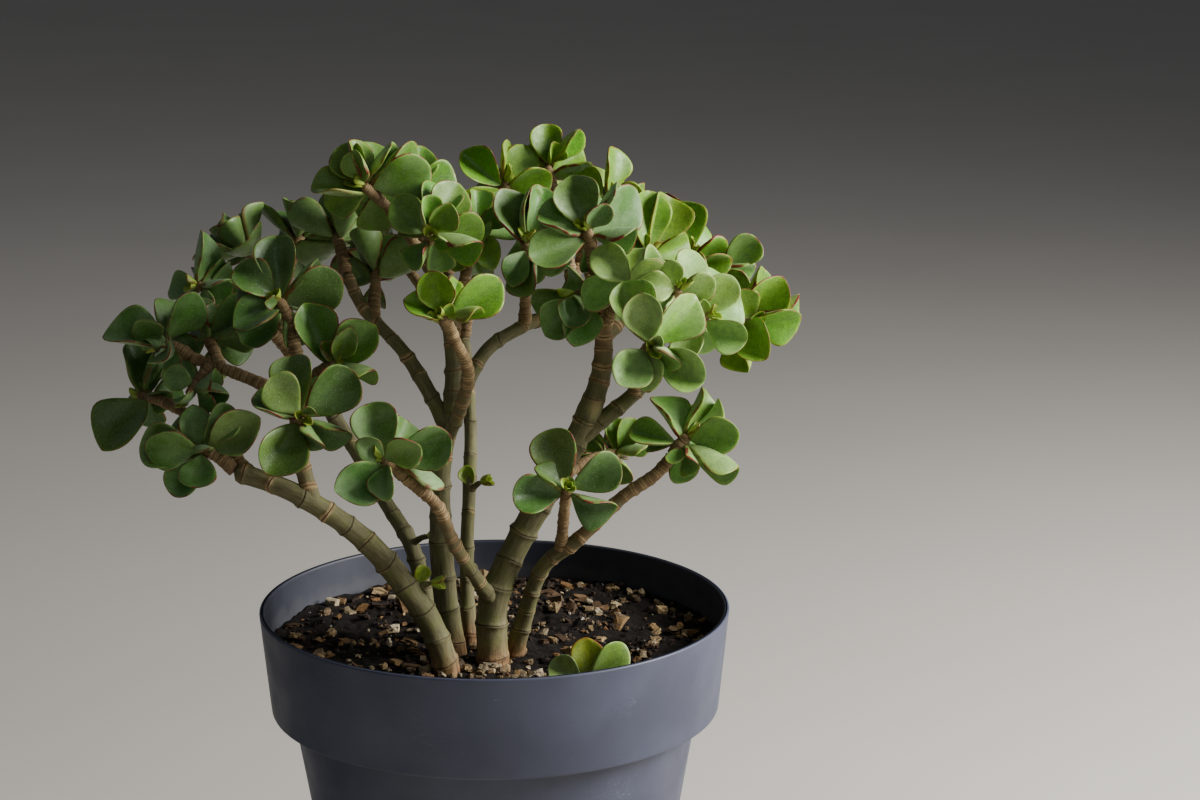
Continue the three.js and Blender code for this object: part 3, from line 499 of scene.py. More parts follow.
shoots = {
    "shoot_top_left": {"tone": "fresh", "parent": "stem_middle", "from": 0.86,
        "at": (-56, -30, 220),
        "leaves": [(178, 5, 95, 60), (200, -35, 78, 0), (20, 5, 104, 10), (48, -5, 105, 50),
            (125, 5, 84, 10), (85, -25, 86, 20), (115, 20, 78, 50), (70, 15, 80, 65),
            (100, 25, 66, -20)]},
    "shoot_top_left_rear": {"tone": "fresh", "parent": "stem_middle", "from": 0.8,
        "at": (-42, 2, 214),
        "leaves": [(330, -5, 84, 0), (200, -10, 84, 10), (20, -15, 92, 0), (66, -5, 88, 10),
            (105, -25, 86, 0), (60, -20, 64, 30), (140, -30, 80, 0)]},
    "shoot_top_middle": {"tone": "fresh", "parent": "stem_middle", "from": 1, "at": (-25, -48, 201),
        "leaves": [(250, 10, 62, 50), (130, 15, 84, 0), (12, -20, 84, 20), (3, 15, 88, 50),
            (80, -15, 100, 5), (62, -20, 96, 20), (345, 30, 42, 30), (104, 40, 66, 40),
            (62, 38, 70, 5)]},
    "shoot_front_middle": {"tone": "bright", "parent": "branch_front", "from": 1,
        "at": (-19, -76, 170),
        "leaves": [(152, 20, 80, 50), (112, -15, 88, 75), (75, -30, 80, 30), (35, 5, 106, 0),
            (30, 35, 64, 75), (103, 28, 78, 0), (60, 55, 28, 0)]},
    "shoot_crown": {"tone": "glaucous", "parent": "branch_top_right", "from": 1,
        "at": (43, -40, 202),
        "leaves": [(197, 10, 105, 30), (175, -25, 82, 10), (12, 15, 78, 50), (42, -5, 110, 15),
            (162, 15, 86, 60), (62, 5, 96, 50), (107, 5, 98, 0), (92, -40, 100, 50),
            (66, 42, 62, 20)]},
    "shoot_crown_low": {"tone": "glaucous", "parent": "branch_top_right", "from": 0.7,
        "at": (38, -28, 170),
        "leaves": [(235, 20, 78, 20), (222, -15, 95, 10), (258, -10, 85, 0), (285, -25, 80, 10),
            (315, 35, 45, 40), (195, -35, 80, 0)]},
    "shoot_centre": {"tone": "glaucous", "parent": "branch_back_right", "from": 0.55,
        "at": (16, -2, 190),
        "leaves": [(283, 10, 88, 30), (250, 5, 74, 20), (340, -5, 76, 40), (122, 8, 100, 50),
            (108, -22, 92, 10), (100, 15, 88, 60), (75, -12, 98, 10)]},
    "shoot_centre_left": {"tone": "fresh", "parent": "stem_middle", "from": 0.74,
        "at": (-6, 18, 193),
        "leaves": [(300, 20, 72, 0), (240, 10, 80, 30), (190, 0, 86, 10), (20, -20, 80, 0),
            (140, -30, 86, 0), (96, 5, 68, 30), (50, 15, 52, 0), (275, 45, 50, 0)]},
    "shoot_rear_left_top": {"tone": "bright", "parent": "stem_back", "from": 0.82,
        "at": (6, 50, 209),
        "leaves": [(200, 10, 78, 0), (320, 10, 74, 20), (143, 5, 94, 10), (20, 15, 82, 20),
            (90, -50, 84, 0), (58, 0, 88, 0), (96, 5, 84, 65)]},
    "shoot_rear_top": {"tone": "bright", "parent": "branch_back_right", "from": 0.9,
        "at": (24, 60, 215),
        "leaves": [(10, 0, 74, 40), (182, -10, 78, 20), (120, -30, 82, 0), (40, -20, 78, 20),
            (95, 0, 76, 0), (68, 10, 82, 70), (75, 35, 52, 40)]},
    "shoot_rear_right_top": {"tone": "bright", "parent": "branch_back_right", "from": 1,
        "at": (54, 46, 203),
        "leaves": [(300, 10, 72, 20), (170, 0, 70, 0), (20, 25, 70, 0), (140, -10, 66, 20),
            (12, -15, 72, 20), (110, -50, 60, 0), (78, 12, 86, 55)]},
    "shoot_upper_right": {"tone": "bright", "parent": "branch_upper_right", "from": 0.4,
        "at": (72, -14, 188),
        "leaves": [(205, 10, 68, 60), (330, -10, 72, 0), (20, -20, 80, 10), (130, -20, 86, 30),
            (92, 5, 104, 30), (72, -20, 102, 30), (255, 30, 62, 20)]},
    "shoot_upper_right_rear": {"tone": "bright", "parent": "branch_upper_right", "from": 0.95,
        "at": (92, 2, 184),
        "leaves": [(10, 20, 72, 20), (150, -30, 78, 10), (30, 0, 76, 40), (108, 0, 100, 20),
            (80, -18, 92, 30), (320, 35, 56, 20)]},
    "shoot_right_upper": {"tone": "mint", "parent": "branch_right", "from": 0.55,
        "at": (84, -50, 178),
        "leaves": [(265, 15, 62, 30), (230, 20, 72, 50), (20, 10, 72, 20), (60, -10, 82, 10),
            (150, 15, 92, 0), (172, 28, 74, 20), (100, 45, 52, 0)]},
    "shoot_right_inner": {"tone": "mint", "parent": "branch_top_right", "from": 0.56,
        "at": (66, -48, 180),
        "leaves": [(200, -20, 82, 30), (320, -10, 62, 10), (140, -10, 82, 10), (100, -40, 80, 0),
            (75, 10, 64, 50), (30, 28, 64, 10), (60, 55, 36, 0)]},
    "shoot_right_front": {"tone": "mint", "parent": "branch_right", "from": 0.42,
        "at": (71, -78, 157),
        "leaves": [(270, 10, 74, 20), (225, 5, 88, 10), (332, 5, 104, 0), (115, -5, 106, 10),
            (45, 0, 110, 0), (355, 35, 64, 40), (97, 22, 88, 0), (55, 60, 36, 0)]},
    "shoot_right_middle": {"tone": "mint", "parent": "branch_right", "from": 0.75,
        "at": (97, -48, 165),
        "leaves": [(250, 0, 72, 20), (343, 10, 84, 0), (20, -25, 82, 20), (150, 0, 70, 30),
            (76, -10, 106, 15), (55, 22, 86, 0), (100, 55, 36, 0)]},
    "shoot_right_rear": {"tone": "fresh", "parent": "branch_upper_right", "from": 1,
        "at": (106, 4, 174),
        "leaves": [(300, 10, 64, 0), (160, -10, 62, 0), (5, -15, 76, 40), (112, -20, 82, 10),
            (80, -45, 82, 0), (345, 20, 62, 30), (45, 8, 78, 0)]},
    "shoot_far_right": {"tone": "bright", "parent": "branch_right", "from": 1,
        "at": (119, -22, 156),
        "leaves": [(290, -5, 84, 55), (308, 10, 94, 0), (80, -5, 88, 65), (20, -15, 102, 40),
            (3, 5, 88, 30), (55, 10, 92, 0), (118, 38, 84, 10), (60, 60, 36, 0)]},
    "shoot_low_right": {"tone": "fresh", "parent": "stem_right", "from": 1, "at": (89, -45, 109),
        "leaves": [(250, 20, 44, 20), (176, -10, 80, 40), (352, 10, 100, 60), (312, 20, 56, 55),
            (118, 5, 86, 55), (88, -20, 80, 20), (65, -25, 96, 50), (35, -15, 92, 65),
            (12, 15, 86, 15)]},
    "shoot_low_middle": {"tone": "deep", "parent": "stem_right", "from": 0.53, "at": (35, -68, 91),
        "leaves": [(182, 10, 88, 25), (348, 10, 84, 25), (138, 25, 64, 70), (107, 0, 98, 0),
            (32, 5, 94, 0), (80, 60, 24, 0)]},
    "shoot_low_rear": {"tone": "fresh", "buds": "plum", "parent": "stem_middle_right", "from": 0.7,
        "at": (58, -2, 90),
        "leaves": [(200, 0, 62, 20), (320, 10, 58, 40), (150, -20, 62, 0), (22, 15, 64, 65),
            (100, 0, 58, 20), (62, 10, 64, 0)]},
    "shoot_left_front": {"tone": "deep", "parent": "branch_up_left", "from": 0.3,
        "at": (-79, -88, 128),
        "leaves": [(236, 15, 106, 10), (42, 0, 108, 10), (345, -5, 82, 30), (100, 0, 100, 0),
            (158, 20, 82, 55), (310, 20, 62, 60), (122, 32, 84, 10), (60, 55, 36, 30)]},
    "shoot_front": {"tone": "glaucous", "parent": "branch_low_left", "from": 1,
        "at": (-45, -94, 111),
        "leaves": [(198, 15, 102, 0), (345, -20, 92, 60), (22, -5, 100, 0), (275, 25, 70, 20),
            (108, 5, 92, 0), (55, -30, 84, 20), (142, 40, 54, 20), (28, 28, 72, 5)]},
    "shoot_left_low": {"tone": "glaucous", "parent": "stem_front_left", "from": 1,
        "at": (-130, -56, 106),
        "leaves": [(232, 0, 88, 20), (178, -12, 106, 20), (30, -5, 104, 0), (128, -30, 78, 0),
            (268, 20, 80, 0), (55, -18, 84, 10), (172, 22, 88, 0), (97, 18, 70, 5),
            (30, 60, 42, 60)]},
    "shoot_far_left_low": {"tone": "deep", "parent": "stem_front_left", "from": 0.95,
        "at": (-160, -20, 122),
        "leaves": [(226, 15, 118, 25), (112, -35, 78, 30), (85, -10, 84, 80), (5, 30, 56, 20),
            (104, 10, 88, 50)]},
    "shoot_left_small": {"tone": "glaucous", "parent": "branch_far_left", "from": 0.8,
        "at": (-134, -44, 127),
        "leaves": [(352, 25, 64, 55), (160, 30, 62, 20), (335, 20, 56, 30), (40, 35, 60, 60),
            (300, 50, 50, 0)]},
    "shoot_far_left": {"tone": "glaucous", "parent": "branch_far_left", "from": 1,
        "at": (-148, -32, 149),
        "leaves": [(285, 25, 52, 30), (318, 35, 78, 10), (165, 15, 108, 50), (88, -25, 88, 20),
            (58, 10, 108, 50), (160, 35, 52, -70), (125, 50, 66, 0)]},
    "shoot_left_middle": {"tone": "deep", "parent": "branch_far_left", "from": 0.75,
        "at": (-129, -22, 150),
        "leaves": [(345, -30, 72, 0), (20, 25, 92, 45), (200, -30, 70, 0), (38, 5, 112, 0),
            (110, 0, 74, 40), (75, 25, 60, 30)]},
    "shoot_left_upper_rear": {"tone": "glaucous", "parent": "stem_back_left", "from": 0.84,
        "at": (-138, 16, 166),
        "leaves": [(345, 10, 64, 0), (190, -20, 66, 30), (300, 20, 70, 20), (40, -35, 62, 30),
            (10, 20, 66, 40), (84, 5, 92, 68)]},
    "shoot_left_upper": {"tone": "deep", "parent": "branch_up_left", "from": 1,
        "at": (-92, -52, 173),
        "leaves": [(226, -10, 84, 30), (200, 15, 86, 40), (150, -25, 88, 0), (24, 10, 104, 20),
            (92, 10, 106, 0), (48, 5, 88, 60), (140, 22, 86, 35), (165, 60, 32, 0)]},
    "shoot_left_inner": {"tone": "fresh", "parent": "branch_up_left", "from": 0.6,
        "at": (-66, -62, 146),
        "leaves": [(250, -10, 62, 20), (114, 5, 104, 25), (38, 5, 98, 0), (12, 25, 78, 60),
            (125, 40, 44, 50), (62, 30, 66, 10)]},
    "shoot_rear_left_1": {"tone": "deep", "parent": "stem_back_left", "from": 1,
        "at": (-120, 44, 180), "pairs": 4, "turn": 20},
    "shoot_rear_left_2": {"tone": "deep", "parent": "stem_back_left", "from": 0.93,
        "at": (-92, 54, 184), "pairs": 4, "turn": 65},
    "shoot_rear_left_3": {"tone": "deep", "parent": "branch_left", "from": 1, "at": (-74, 28, 189),
        "pairs": 4, "turn": 35},
    "shoot_rear_left_4": {"tone": "deep", "parent": "branch_left", "from": 0.7,
        "at": (-54, 20, 173), "pairs": 3, "turn": 60},
    "shoot_rear_middle": {"tone": "fresh", "parent": "stem_back", "from": 1, "at": (-30, 86, 186),
        "pairs": 4, "turn": 10},
    "shoot_rear_right_1": {"tone": "bright", "parent": "branch_rear_right", "from": 0.6,
        "at": (36, 92, 186), "pairs": 4, "turn": 50},
    "shoot_rear_right_2": {"tone": "bright", "parent": "branch_rear_right", "from": 0.9,
        "at": (80, 88, 178), "pairs": 4, "turn": 25},
    "shoot_rear_right_3": {"tone": "bright", "parent": "branch_rear_right", "from": 1,
        "at": (98, 62, 160), "pairs": 4, "turn": 70},
    "shoot_rear_left_5": {"tone": "deep", "parent": "stem_back", "from": 0.74, "at": (-62, 90, 176),
        "pairs": 4, "turn": 55},
    "shoot_by_rim": {"tone": "rim", "at": (43, -71, 6),
        "leaves": [(138, 12, 68, 10), (91, 0, 70, 0), (40, 12, 80, 10)]},
}

sprouts = [
    {"parent": "stem_front_left", "from": 0.36, "at": (-26, -56, 44),
     "leaves": [(70, 10, 36, 10), (120, 20, 30, 40)]},
    {"parent": "stem_back_left", "from": 0.3, "at": (-30, -8, 52),
     "leaves": [(80, 0, 34, 20), (130, 20, 28, 0)]},
    {"parent": "stem_back", "from": 0.42, "at": (-6, 8, 74),
     "leaves": [(100, 10, 40, 0), (10, 20, 44, 10), (200, 10, 34, 20)]},
]


# ---- curves that the wood grows along ----
soilLevel = pot["height"] - 17
rootDepth = 14
shootRootDepth = 6
ringGap = {"fill": 2.4, "twig": (3.2, 2.0)}


def smoothCurve(points, steps=60):
    # centripetal Catmull-Rom: knots lie the square root of the distance apart, and beyond each
    # end stands the mirror image of the next point
    p = np.array(points, float)
    p = np.vstack([2 * p[0] - p[1], p, 2 * p[-1] - p[-2]])
    d = np.sqrt(np.linalg.norm(np.diff(p, axis=0), axis=1))[:, None]
    a, b, c, e = p[:-3], p[1:-2], p[2:-1], p[3:]
    d0, d1, d2 = d[:-2], d[1:-1], d[2:]
    leave = ((b - a) / d0 - (c - a) / (d0 + d1) + (c - b) / d1) * d1
    arrive = ((c - b) / d1 - (e - b) / (d1 + d2) + (e - c) / d2) * d1
    t = (np.arange(steps) / steps)[None, :, None]
    b, c, leave, arrive = (v[:, None] for v in (b, c, leave, arrive))
    cubic = b + leave * t + (3 * (c - b) - 2 * leave - arrive) * t**2
    cubic = cubic + (2 * (b - c) + leave + arrive) * t**3
    return np.vstack([cubic.reshape(-1, 3), p[-2]])


def twigCurve(start, end, steps=60):
    # a quadratic arc whose middle handle is raised by a fifth of the distance
    handle = (start + end) / 2 + np.array([0, 0, 0.2]) * np.linalg.norm(end - start)
    t = np.linspace(0, 1, steps)[:, None]
    return (1 - t) ** 2 * start + 2 * t * (1 - t) * handle + t**2 * end


def runOf(line):
    return np.concatenate([[0], np.cumsum(np.linalg.norm(np.diff(line, axis=0), axis=1))])


def alongLine(line, distance):
    # points and unit directions at distances along a line, by straight steps between its points
    run = runOf(line)
    slopes = np.gradient(line, run, axis=0)
    place = np.stack([np.interp(distance, run, line[:, i]) for i in range(3)], -1)
    ahead = np.stack([np.interp(distance, run, slopes[:, i]) for i in range(3)], -1)
    return place, ahead / np.linalg.norm(ahead, axis=-1, keepdims=True)


def plantPoint(p):
    return np.array(p, float) + (0, 0, soilLevel)


# ---- wood ----
wood = {
    "sides": 30,
    "twigSides": 18,
    "twigRadius": 2.8,
    "collar": 0.09,  # how far a ring stands out, as a share of the radius
    "collarWidth": 1.5,
    "groove": 0.3,  # depth of the scar line
    "grooveWidth": 0.3,
    "budScar": 0.55,
    "slant": 0.7,  # how far a scar line tips round the stem
    "branchFlare": 0.28,
    "flare": 0.1,  # widening at a foot, as a share of the radius
}


def ringPlaces(length, spacing, seed):
    # rings whose spacing goes by equal ratios from the foot's to the tip's, each a little uneven
    count = max(int(round(length * np.log(spacing[0] / spacing[1]) / (spacing[0] - spacing[1]))), 2)
    steps = np.geomspace(spacing[0], spacing[1], count) * (1 + 0.24 * wobble(seed + np.arange(count)))
    return np.cumsum(steps) * (length - spacing[1] * 0.4) / steps.sum()


def rowPlaces(length, rings, spacing):
    # rows close together at each ring and wide apart between rings
    near = np.array([-2.4, -1.5, -0.9, -0.5, -0.25, -0.08, 0.08, 0.25, 0.5, 0.9, 1.5, 2.4])
    gaps = np.interp(rings, [0, length], spacing)
    close = (rings[:, None] + near * np.minimum(gaps / 6, 1)[:, None]).ravel()
    rows = np.concatenate([np.arange(0, length, ringGap["fill"]), close, [length]])
    rows = np.unique(np.round(rows[(rows >= 0) & (rows <= length)], 3))
    return rows[np.concatenate([[True], np.diff(rows) > 0.05])]


def woodSurface(line, radii, spacing, brown, seed, sides, foot, rooted):
    # A tube round the line. Its radius goes evenly from foot to tip, then gains a bell-shaped
    # collar and loses a narrow groove at each ring; a scar's two buds are bells round the ring.
    # The foot widens by an exponential, and slow waves keep the tube from being round.
    length = runOf(line)[-1]
    rings = ringPlaces(length, spacing, seed)
    rows = rowPlaces(length, rings, spacing)
    angle = np.arange(sides) * 2 * np.pi / sides
    s, a = np.meshgrid(rows, angle, indexing="ij")
    number = np.arange(len(rings))
    size = np.minimum(np.interp(rings, [0, length], spacing) / 10, 1) ** 0.7
    off = s[..., None] - rings
    bell = np.exp(-((off / (wood["collarWidth"] * size + 0.25)) ** 2)) * (0.4 + 0.6 * size)
    bell = bell * (1 + 1.1 * (1 - size)) * (1 + 0.35 * wobble(seed + 120 + number))
    cut = np.exp(-((off / (wood["grooveWidth"] * (0.5 + 0.5 * size))) ** 2)) * (0.5 + 0.5 * size)
    turn = np.pi / 2 * number + wobble(seed + 30 + number)
    bud = np.exp(-((off / 1.2) ** 2)) * np.abs(np.cos(a[..., None] - turn)) ** 8 * size
    collar, scar, buds = bell.max(-1), cut.max(-1), bud.max(-1)
    radius = np.interp(s, [0, length], radii)
    waves = np.sin(2 * a + s * 0.11 + seed) + 0.6 * np.sin(3 * a - s * 0.17 + 2 * seed)
    stretch = np.clip(np.interp(s, rings, number) % 1, 0, 1) - 0.5  # each length between rings widens upward
    uneven = np.interp(s, rings, wobble(seed + 90 + number))
    radius = radius * (0.985 + wood["collar"] * collar + 0.02 * waves + 0.05 * stretch + 0.05 * uneven)
    flare = wood["flare"] if rooted else wood["branchFlare"]
    radius = radius * (1 + flare * np.exp(-np.maximum(s - foot, 0) / 5))
    radius = radius - wood["groove"] * scar + wood["budScar"] * buds
    tip = np.sqrt(np.clip((length - s) / 1.6, 0, 1))  # rounds the tip off
    radius = radius * (0.25 + 0.75 * tip)
    # each ring is tipped about the stem, and dips on two sides by turns
    lean = wood["slant"] * size * wobble(seed + 60 + number)
    tipX = np.interp(s, rings, lean * np.cos(turn))
    tipY = np.interp(s, rings, lean * np.sin(turn))
    dip = np.interp(s, rings, 0.45 * size * (-1.0) ** number)
    shift = tipX * np.cos(a) + tipY * np.sin(a) + dip * np.cos(2 * a)
    shift = shift * np.clip(np.minimum(s, length - s) / 4, 0, 1)
    middle, ahead = alongLine(line, rows)
    spare = np.eye(3)[np.argmin(np.abs(ahead).max(0))]
    side = np.cross(ahead, spare)
    side = side / np.linalg.norm(side, axis=1, keepdims=True)
    other = np.cross(ahead, side)
    points = middle[:, None] + ahead[:, None] * shift[..., None]
    points = points + radius[..., None] * (
        side[:, None] * np.cos(a)[..., None] + other[:, None] * np.sin(a)[..., None]
    )
    bark = np.stack([radius * np.cos(a), radius * np.sin(a), s + 11.3 * (seed % 17)], -1)
    share = np.interp(s, [0, length], brown)
    root = np.exp(-np.maximum(s - foot, 0) / 13) * rooted
    values = {
        "barkPlace": bark.reshape(-1, 3),
        "scar": scar.ravel(),
        "collar": np.maximum(collar, buds).ravel(),
        "brown": share.ravel(),
        "root": root.ravel(),
    }
    return closeTube(points, values)


def closeTube(points, values):
    # a middle point closes each end
    rows, sides = points.shape[:2]
    ends = np.stack([points[0].mean(0), points[-1].mean(0)])
    for key, value in values.items():
        v = value.reshape(rows, sides, -1)
        v = np.vstack([v.reshape(rows * sides, -1), v[0].mean(0)[None], v[-1].mean(0)[None]])
        values[key] = v[:, 0] if value.ndim == 1 else v
    around = np.arange(sides)
    after = (around + 1) % sides
    last = (rows - 1) * sides
    low = np.stack([np.full(sides, rows * sides), after, around, around], 1)
    high = np.stack([np.full(sides, rows * sides + 1), last + around, last + after, last + after], 1)
    faces = np.vstack([gridFaces(rows, sides), low, high])
    return np.vstack([points.reshape(-1, 3), ends]), faces, values


def trimFaces(faces):
    # a cell whose last corner repeats is a triangle
    return [f[:3] if f[2] == f[3] else f for f in faces.tolist()]


def joinParts(parts):
    # several (points, faces, values, kind) as one, filling attributes that a part has not
    keys = {}
    for part in parts:
        keys.update({k: v.shape[1:] for k, v in part[2].items()})
    points, faces, kinds, start = [], [], [], 0
    values = {k: [] for k in keys}
    for p, f, v, kind in parts:
        points.append(p)
        faces.append(f + start)
        kinds.append(np.full(len(f), kind))
        for k, shape in keys.items():
            values[k].append(v.get(k, np.zeros((len(p), *shape))))
        start += len(p)
    joined = {k: np.concatenate(v) for k, v in values.items()}
    return np.vstack(points), np.vstack(faces), joined, np.concatenate(kinds)


# ---- leaves ----
leafShape = {
    "length": 27,
    "widthShare": 0.82,
    "thickness": 3.4,
    "rise": 1.05,
    "fall": 0.5,
    "edge": 0.6,
    "baseOut": 1.3,
    "lowest": 7,
    "spread": 6,
    "lookUp": 26,
    "rows": 22,
    "sides": 24,
}
pairRule = {"oldest": 82, "closing": 20, "uneven": 6, "turn": 90, "opposite": 180, "around": 8}
giveWay = [
    (tilt, share) for share in (1, 0.9, 0.8, 0.68, 0.55) for tilt in (0, 9, -9, 18, -18, 27, -27)
]

# colours of the upper face, the underside and the margin's inner band, how much waxy bloom lies
# on the leaf and how red its edge is
tones = {
    "bright": {"upper": "#629600", "under": "#90ad3c", "band": "#93ad24", "bloom": 0.08, "red": 0.8},
    "fresh": {"upper": "#4f8408", "under": "#8fad62", "band": "#86a336", "bloom": 0.22, "red": 0.8},
    "mint": {"upper": "#7fad40", "under": "#b4d18c", "band": "#a6c466", "bloom": 0.4, "red": 0.6},
    "glaucous": {"upper": "#3d7414", "under": "#87a571", "band": "#7b9c48", "bloom": 0.4, "red": 0.85},
    "deep": {"upper": "#2f5c06", "under": "#688b42", "band": "#668a2a", "bloom": 0.18, "red": 0.7},
    "bud": {"upper": "#7fa31c", "under": "#98b444", "band": "#adc23a", "bloom": 0.05, "red": 0.5},
    "plum": {"upper": "#7d5560", "under": "#a07f86", "band": "#8f9a50", "bloom": 0.2, "red": 0.6},
    "rimPale": {"upper": "#7b9f58", "under": "#a8c090", "band": "#9db878", "bloom": 0.5, "red": 0.2},
    "rimGold": {"upper": "#7f9010", "under": "#a3a233", "band": "#a86f24", "bloom": 0.0, "red": 1.0},
    "rimGreen": {"upper": "#669230", "under": "#8fb060", "band": "#90b048", "bloom": 0.1, "red": 0.25},
}


def turned(v, axis, angle):
    # v turned about a unit axis
    return v * np.cos(angle) + np.cross(axis, v) * np.sin(angle) + axis * (axis @ v) * (
        1 - np.cos(angle)
    )


def rowDirections(row, tiltMore):
    # a rosette looks up, so its upper leaves lean back and its lower leaves come forward
    a, r = np.radians(row[0]), np.radians(row[3])
    t = np.radians(row[1] + tiltMore - leafShape["lookUp"] * np.sin(a))
    along = np.array([np.cos(a) * np.cos(t), -np.sin(t), np.sin(a) * np.cos(t)])
    face = np.array([-np.cos(a) * np.sin(t), -np.cos(t), -np.sin(a) * np.sin(t)])
    return along, turned(face, along, r)


def pairDirections(shoot, axis, i, tiltMore):
    # opposite leaves, each pair a quarter turn on and less splayed than the pair below it
    pair = i // 2
    k = shoot["seed"] + i
    splay = pairRule["oldest"] - pairRule["closing"] * pair + pairRule["uneven"] * wobble(k) + tiltMore
    around = pairRule["turn"] * pair + pairRule["opposite"] * (i % 2)
    around = around + pairRule["around"] * wobble(k + 20) + shoot["turn"]
    across = np.cross([1.0, 0, 0], axis)
    across = turned(across / np.linalg.norm(across), axis, np.radians(around))
    c, s = np.cos(np.radians(splay)), np.sin(np.radians(splay))
    return axis * c + across * s, axis * s - across * c


def leafOf(shoot, i, tiltMore, share):
    k = shoot["seed"] + i
    rows = shoot.get("leaves")
    count = len(rows) if rows else shoot["pairs"] * 2
    back = leafShape["lowest"] - leafShape["spread"] * i / (count - 1)
    start, handle, end = shoot["handles"]
    t = 1 - min(back / np.linalg.norm(end - start), 1)
    base = (1 - t) ** 2 * start + 2 * t * (1 - t) * handle + t**2 * end
    axis = 2 * (1 - t) * (handle - start) + 2 * t * (end - handle)
    axis = axis / np.linalg.norm(axis)
    if rows:
        along, normal = rowDirections(rows[i], tiltMore)
        size = rows[i][2] / 100
    else:
        along, normal = pairDirections(shoot, axis, i, tiltMore)
        size = 1 - 0.13 * (i // 2) + 0.06 * wobble(k + 40)
    outward = along - axis * (along @ axis)
    return {
        "base": base + outward / np.linalg.norm(outward) * leafShape["baseOut"],
        "along": along,
        "normal": normal,
        "side": np.cross(normal, along),
        "length": leafShape["length"] * size * share,
        "widthShare": 1 + 0.07 * wobble(k + 1),
        "cup": 0.3 + 0.16 * wobble(k + 2),
        "curl": 0.06 + 0.1 * wobble(k + 3),
        "twist": np.radians(14) * wobble(k + 4),
        "seed": k,
    }


def outlineAt(u, fall):
    # half width along the leaf, 1 where widest: u^rise (1 - u)^fall over its largest value
    rise = leafShape["rise"]
    widest = rise / (rise + fall)
    return (u / widest) ** rise * ((1 - u) / (1 - widest)) ** fall


def giveHabit(leaf, share):
    # what makes each blade its own: folded up along the middle, tip rolled in or out, one half
    # broader, the end rounder or more pointed; share is how much of it the blade has room for
    k = leaf["seed"]
    return {
        **leaf,
        "fold": share * np.radians(27 + 24 * wobble(k + 14)),
        "roll": share * (0.02 + 0.2 * wobble(k + 15)),
        "skew": share * 0.16 * wobble(k + 16),
        "fall": 0.64 + 0.18 * share * wobble(k + 17),
        "cup": leaf["cup"] + share * (0.12 + 0.14 * wobble(k + 18)),
    }


def onLeaf(leaf, u, q, lift):
    # u runs from base to tip, q from edge to edge; the blade is cupped across, curled along
    # and twisted about its length, and lift is added to its face. Folding turns each half up
    # about the middle, which a hyperbola keeps round, and rolling bends the tip by the cube of u.
    outline = outlineAt(u, leaf.get("fall", leafShape["fall"]))
    half = leaf["length"] * leafShape["widthShare"] * leaf["widthShare"] / 2
    y = half * outline * q * (1 + leaf.get("skew", 0) * np.sign(q) * np.sin(np.pi * u))
    z = lift + leaf["cup"] * outline**2 * q**2 * half + leaf["curl"] * leaf["length"] * u**2
    fold = leaf.get("fold", 0) * (1 - 0.45 * u)
    z = z + (np.sqrt(y**2 + 1.5) - 1.5**0.5) * np.sin(fold) + leaf.get("roll", 0) * leaf["length"] * u**3
    y = y * np.cos(fold)
    turn = leaf["twist"] * u
    place = leaf["base"] + leaf["along"] * (leaf["length"] * u)[..., None]
    place = place + leaf["side"] * (y * np.cos(turn) - z * np.sin(turn))[..., None]
    return place + leaf["normal"] * (y * np.sin(turn) + z * np.cos(turn))[..., None]


# how far in mm a leaf's point may be from a CAD corner before it counts as lost, what a better
# place must gain, and the sum of the five distances past which the leaf is not there
fit = {"lost": 1.5, "gain": 0.01, "absent": 3.5}


def grownLeaf(shoot, i, corners):
    # of the steps that a leaf may give way by, the one whose main points the CAD piece has
    u = np.array([1.0, 0.25**0.8, 0.25**0.8, 0.75**0.8, 0.75**0.8])
    q = np.array([0.0, -1, 1, -1, 1])
    best = None
    for tiltMore, share in giveWay:
        leaf = leafOf(shoot, i, tiltMore, share)
        marks = onLeaf(leaf, u, q, 0 * u)
        far = np.linalg.norm(marks[:, None] - corners[None], axis=-1).min(1)
        score = np.minimum(far, fit["lost"]).sum()
        if best is None or score < best[0] - fit["gain"]:
            best = (score, leaf)
    return best


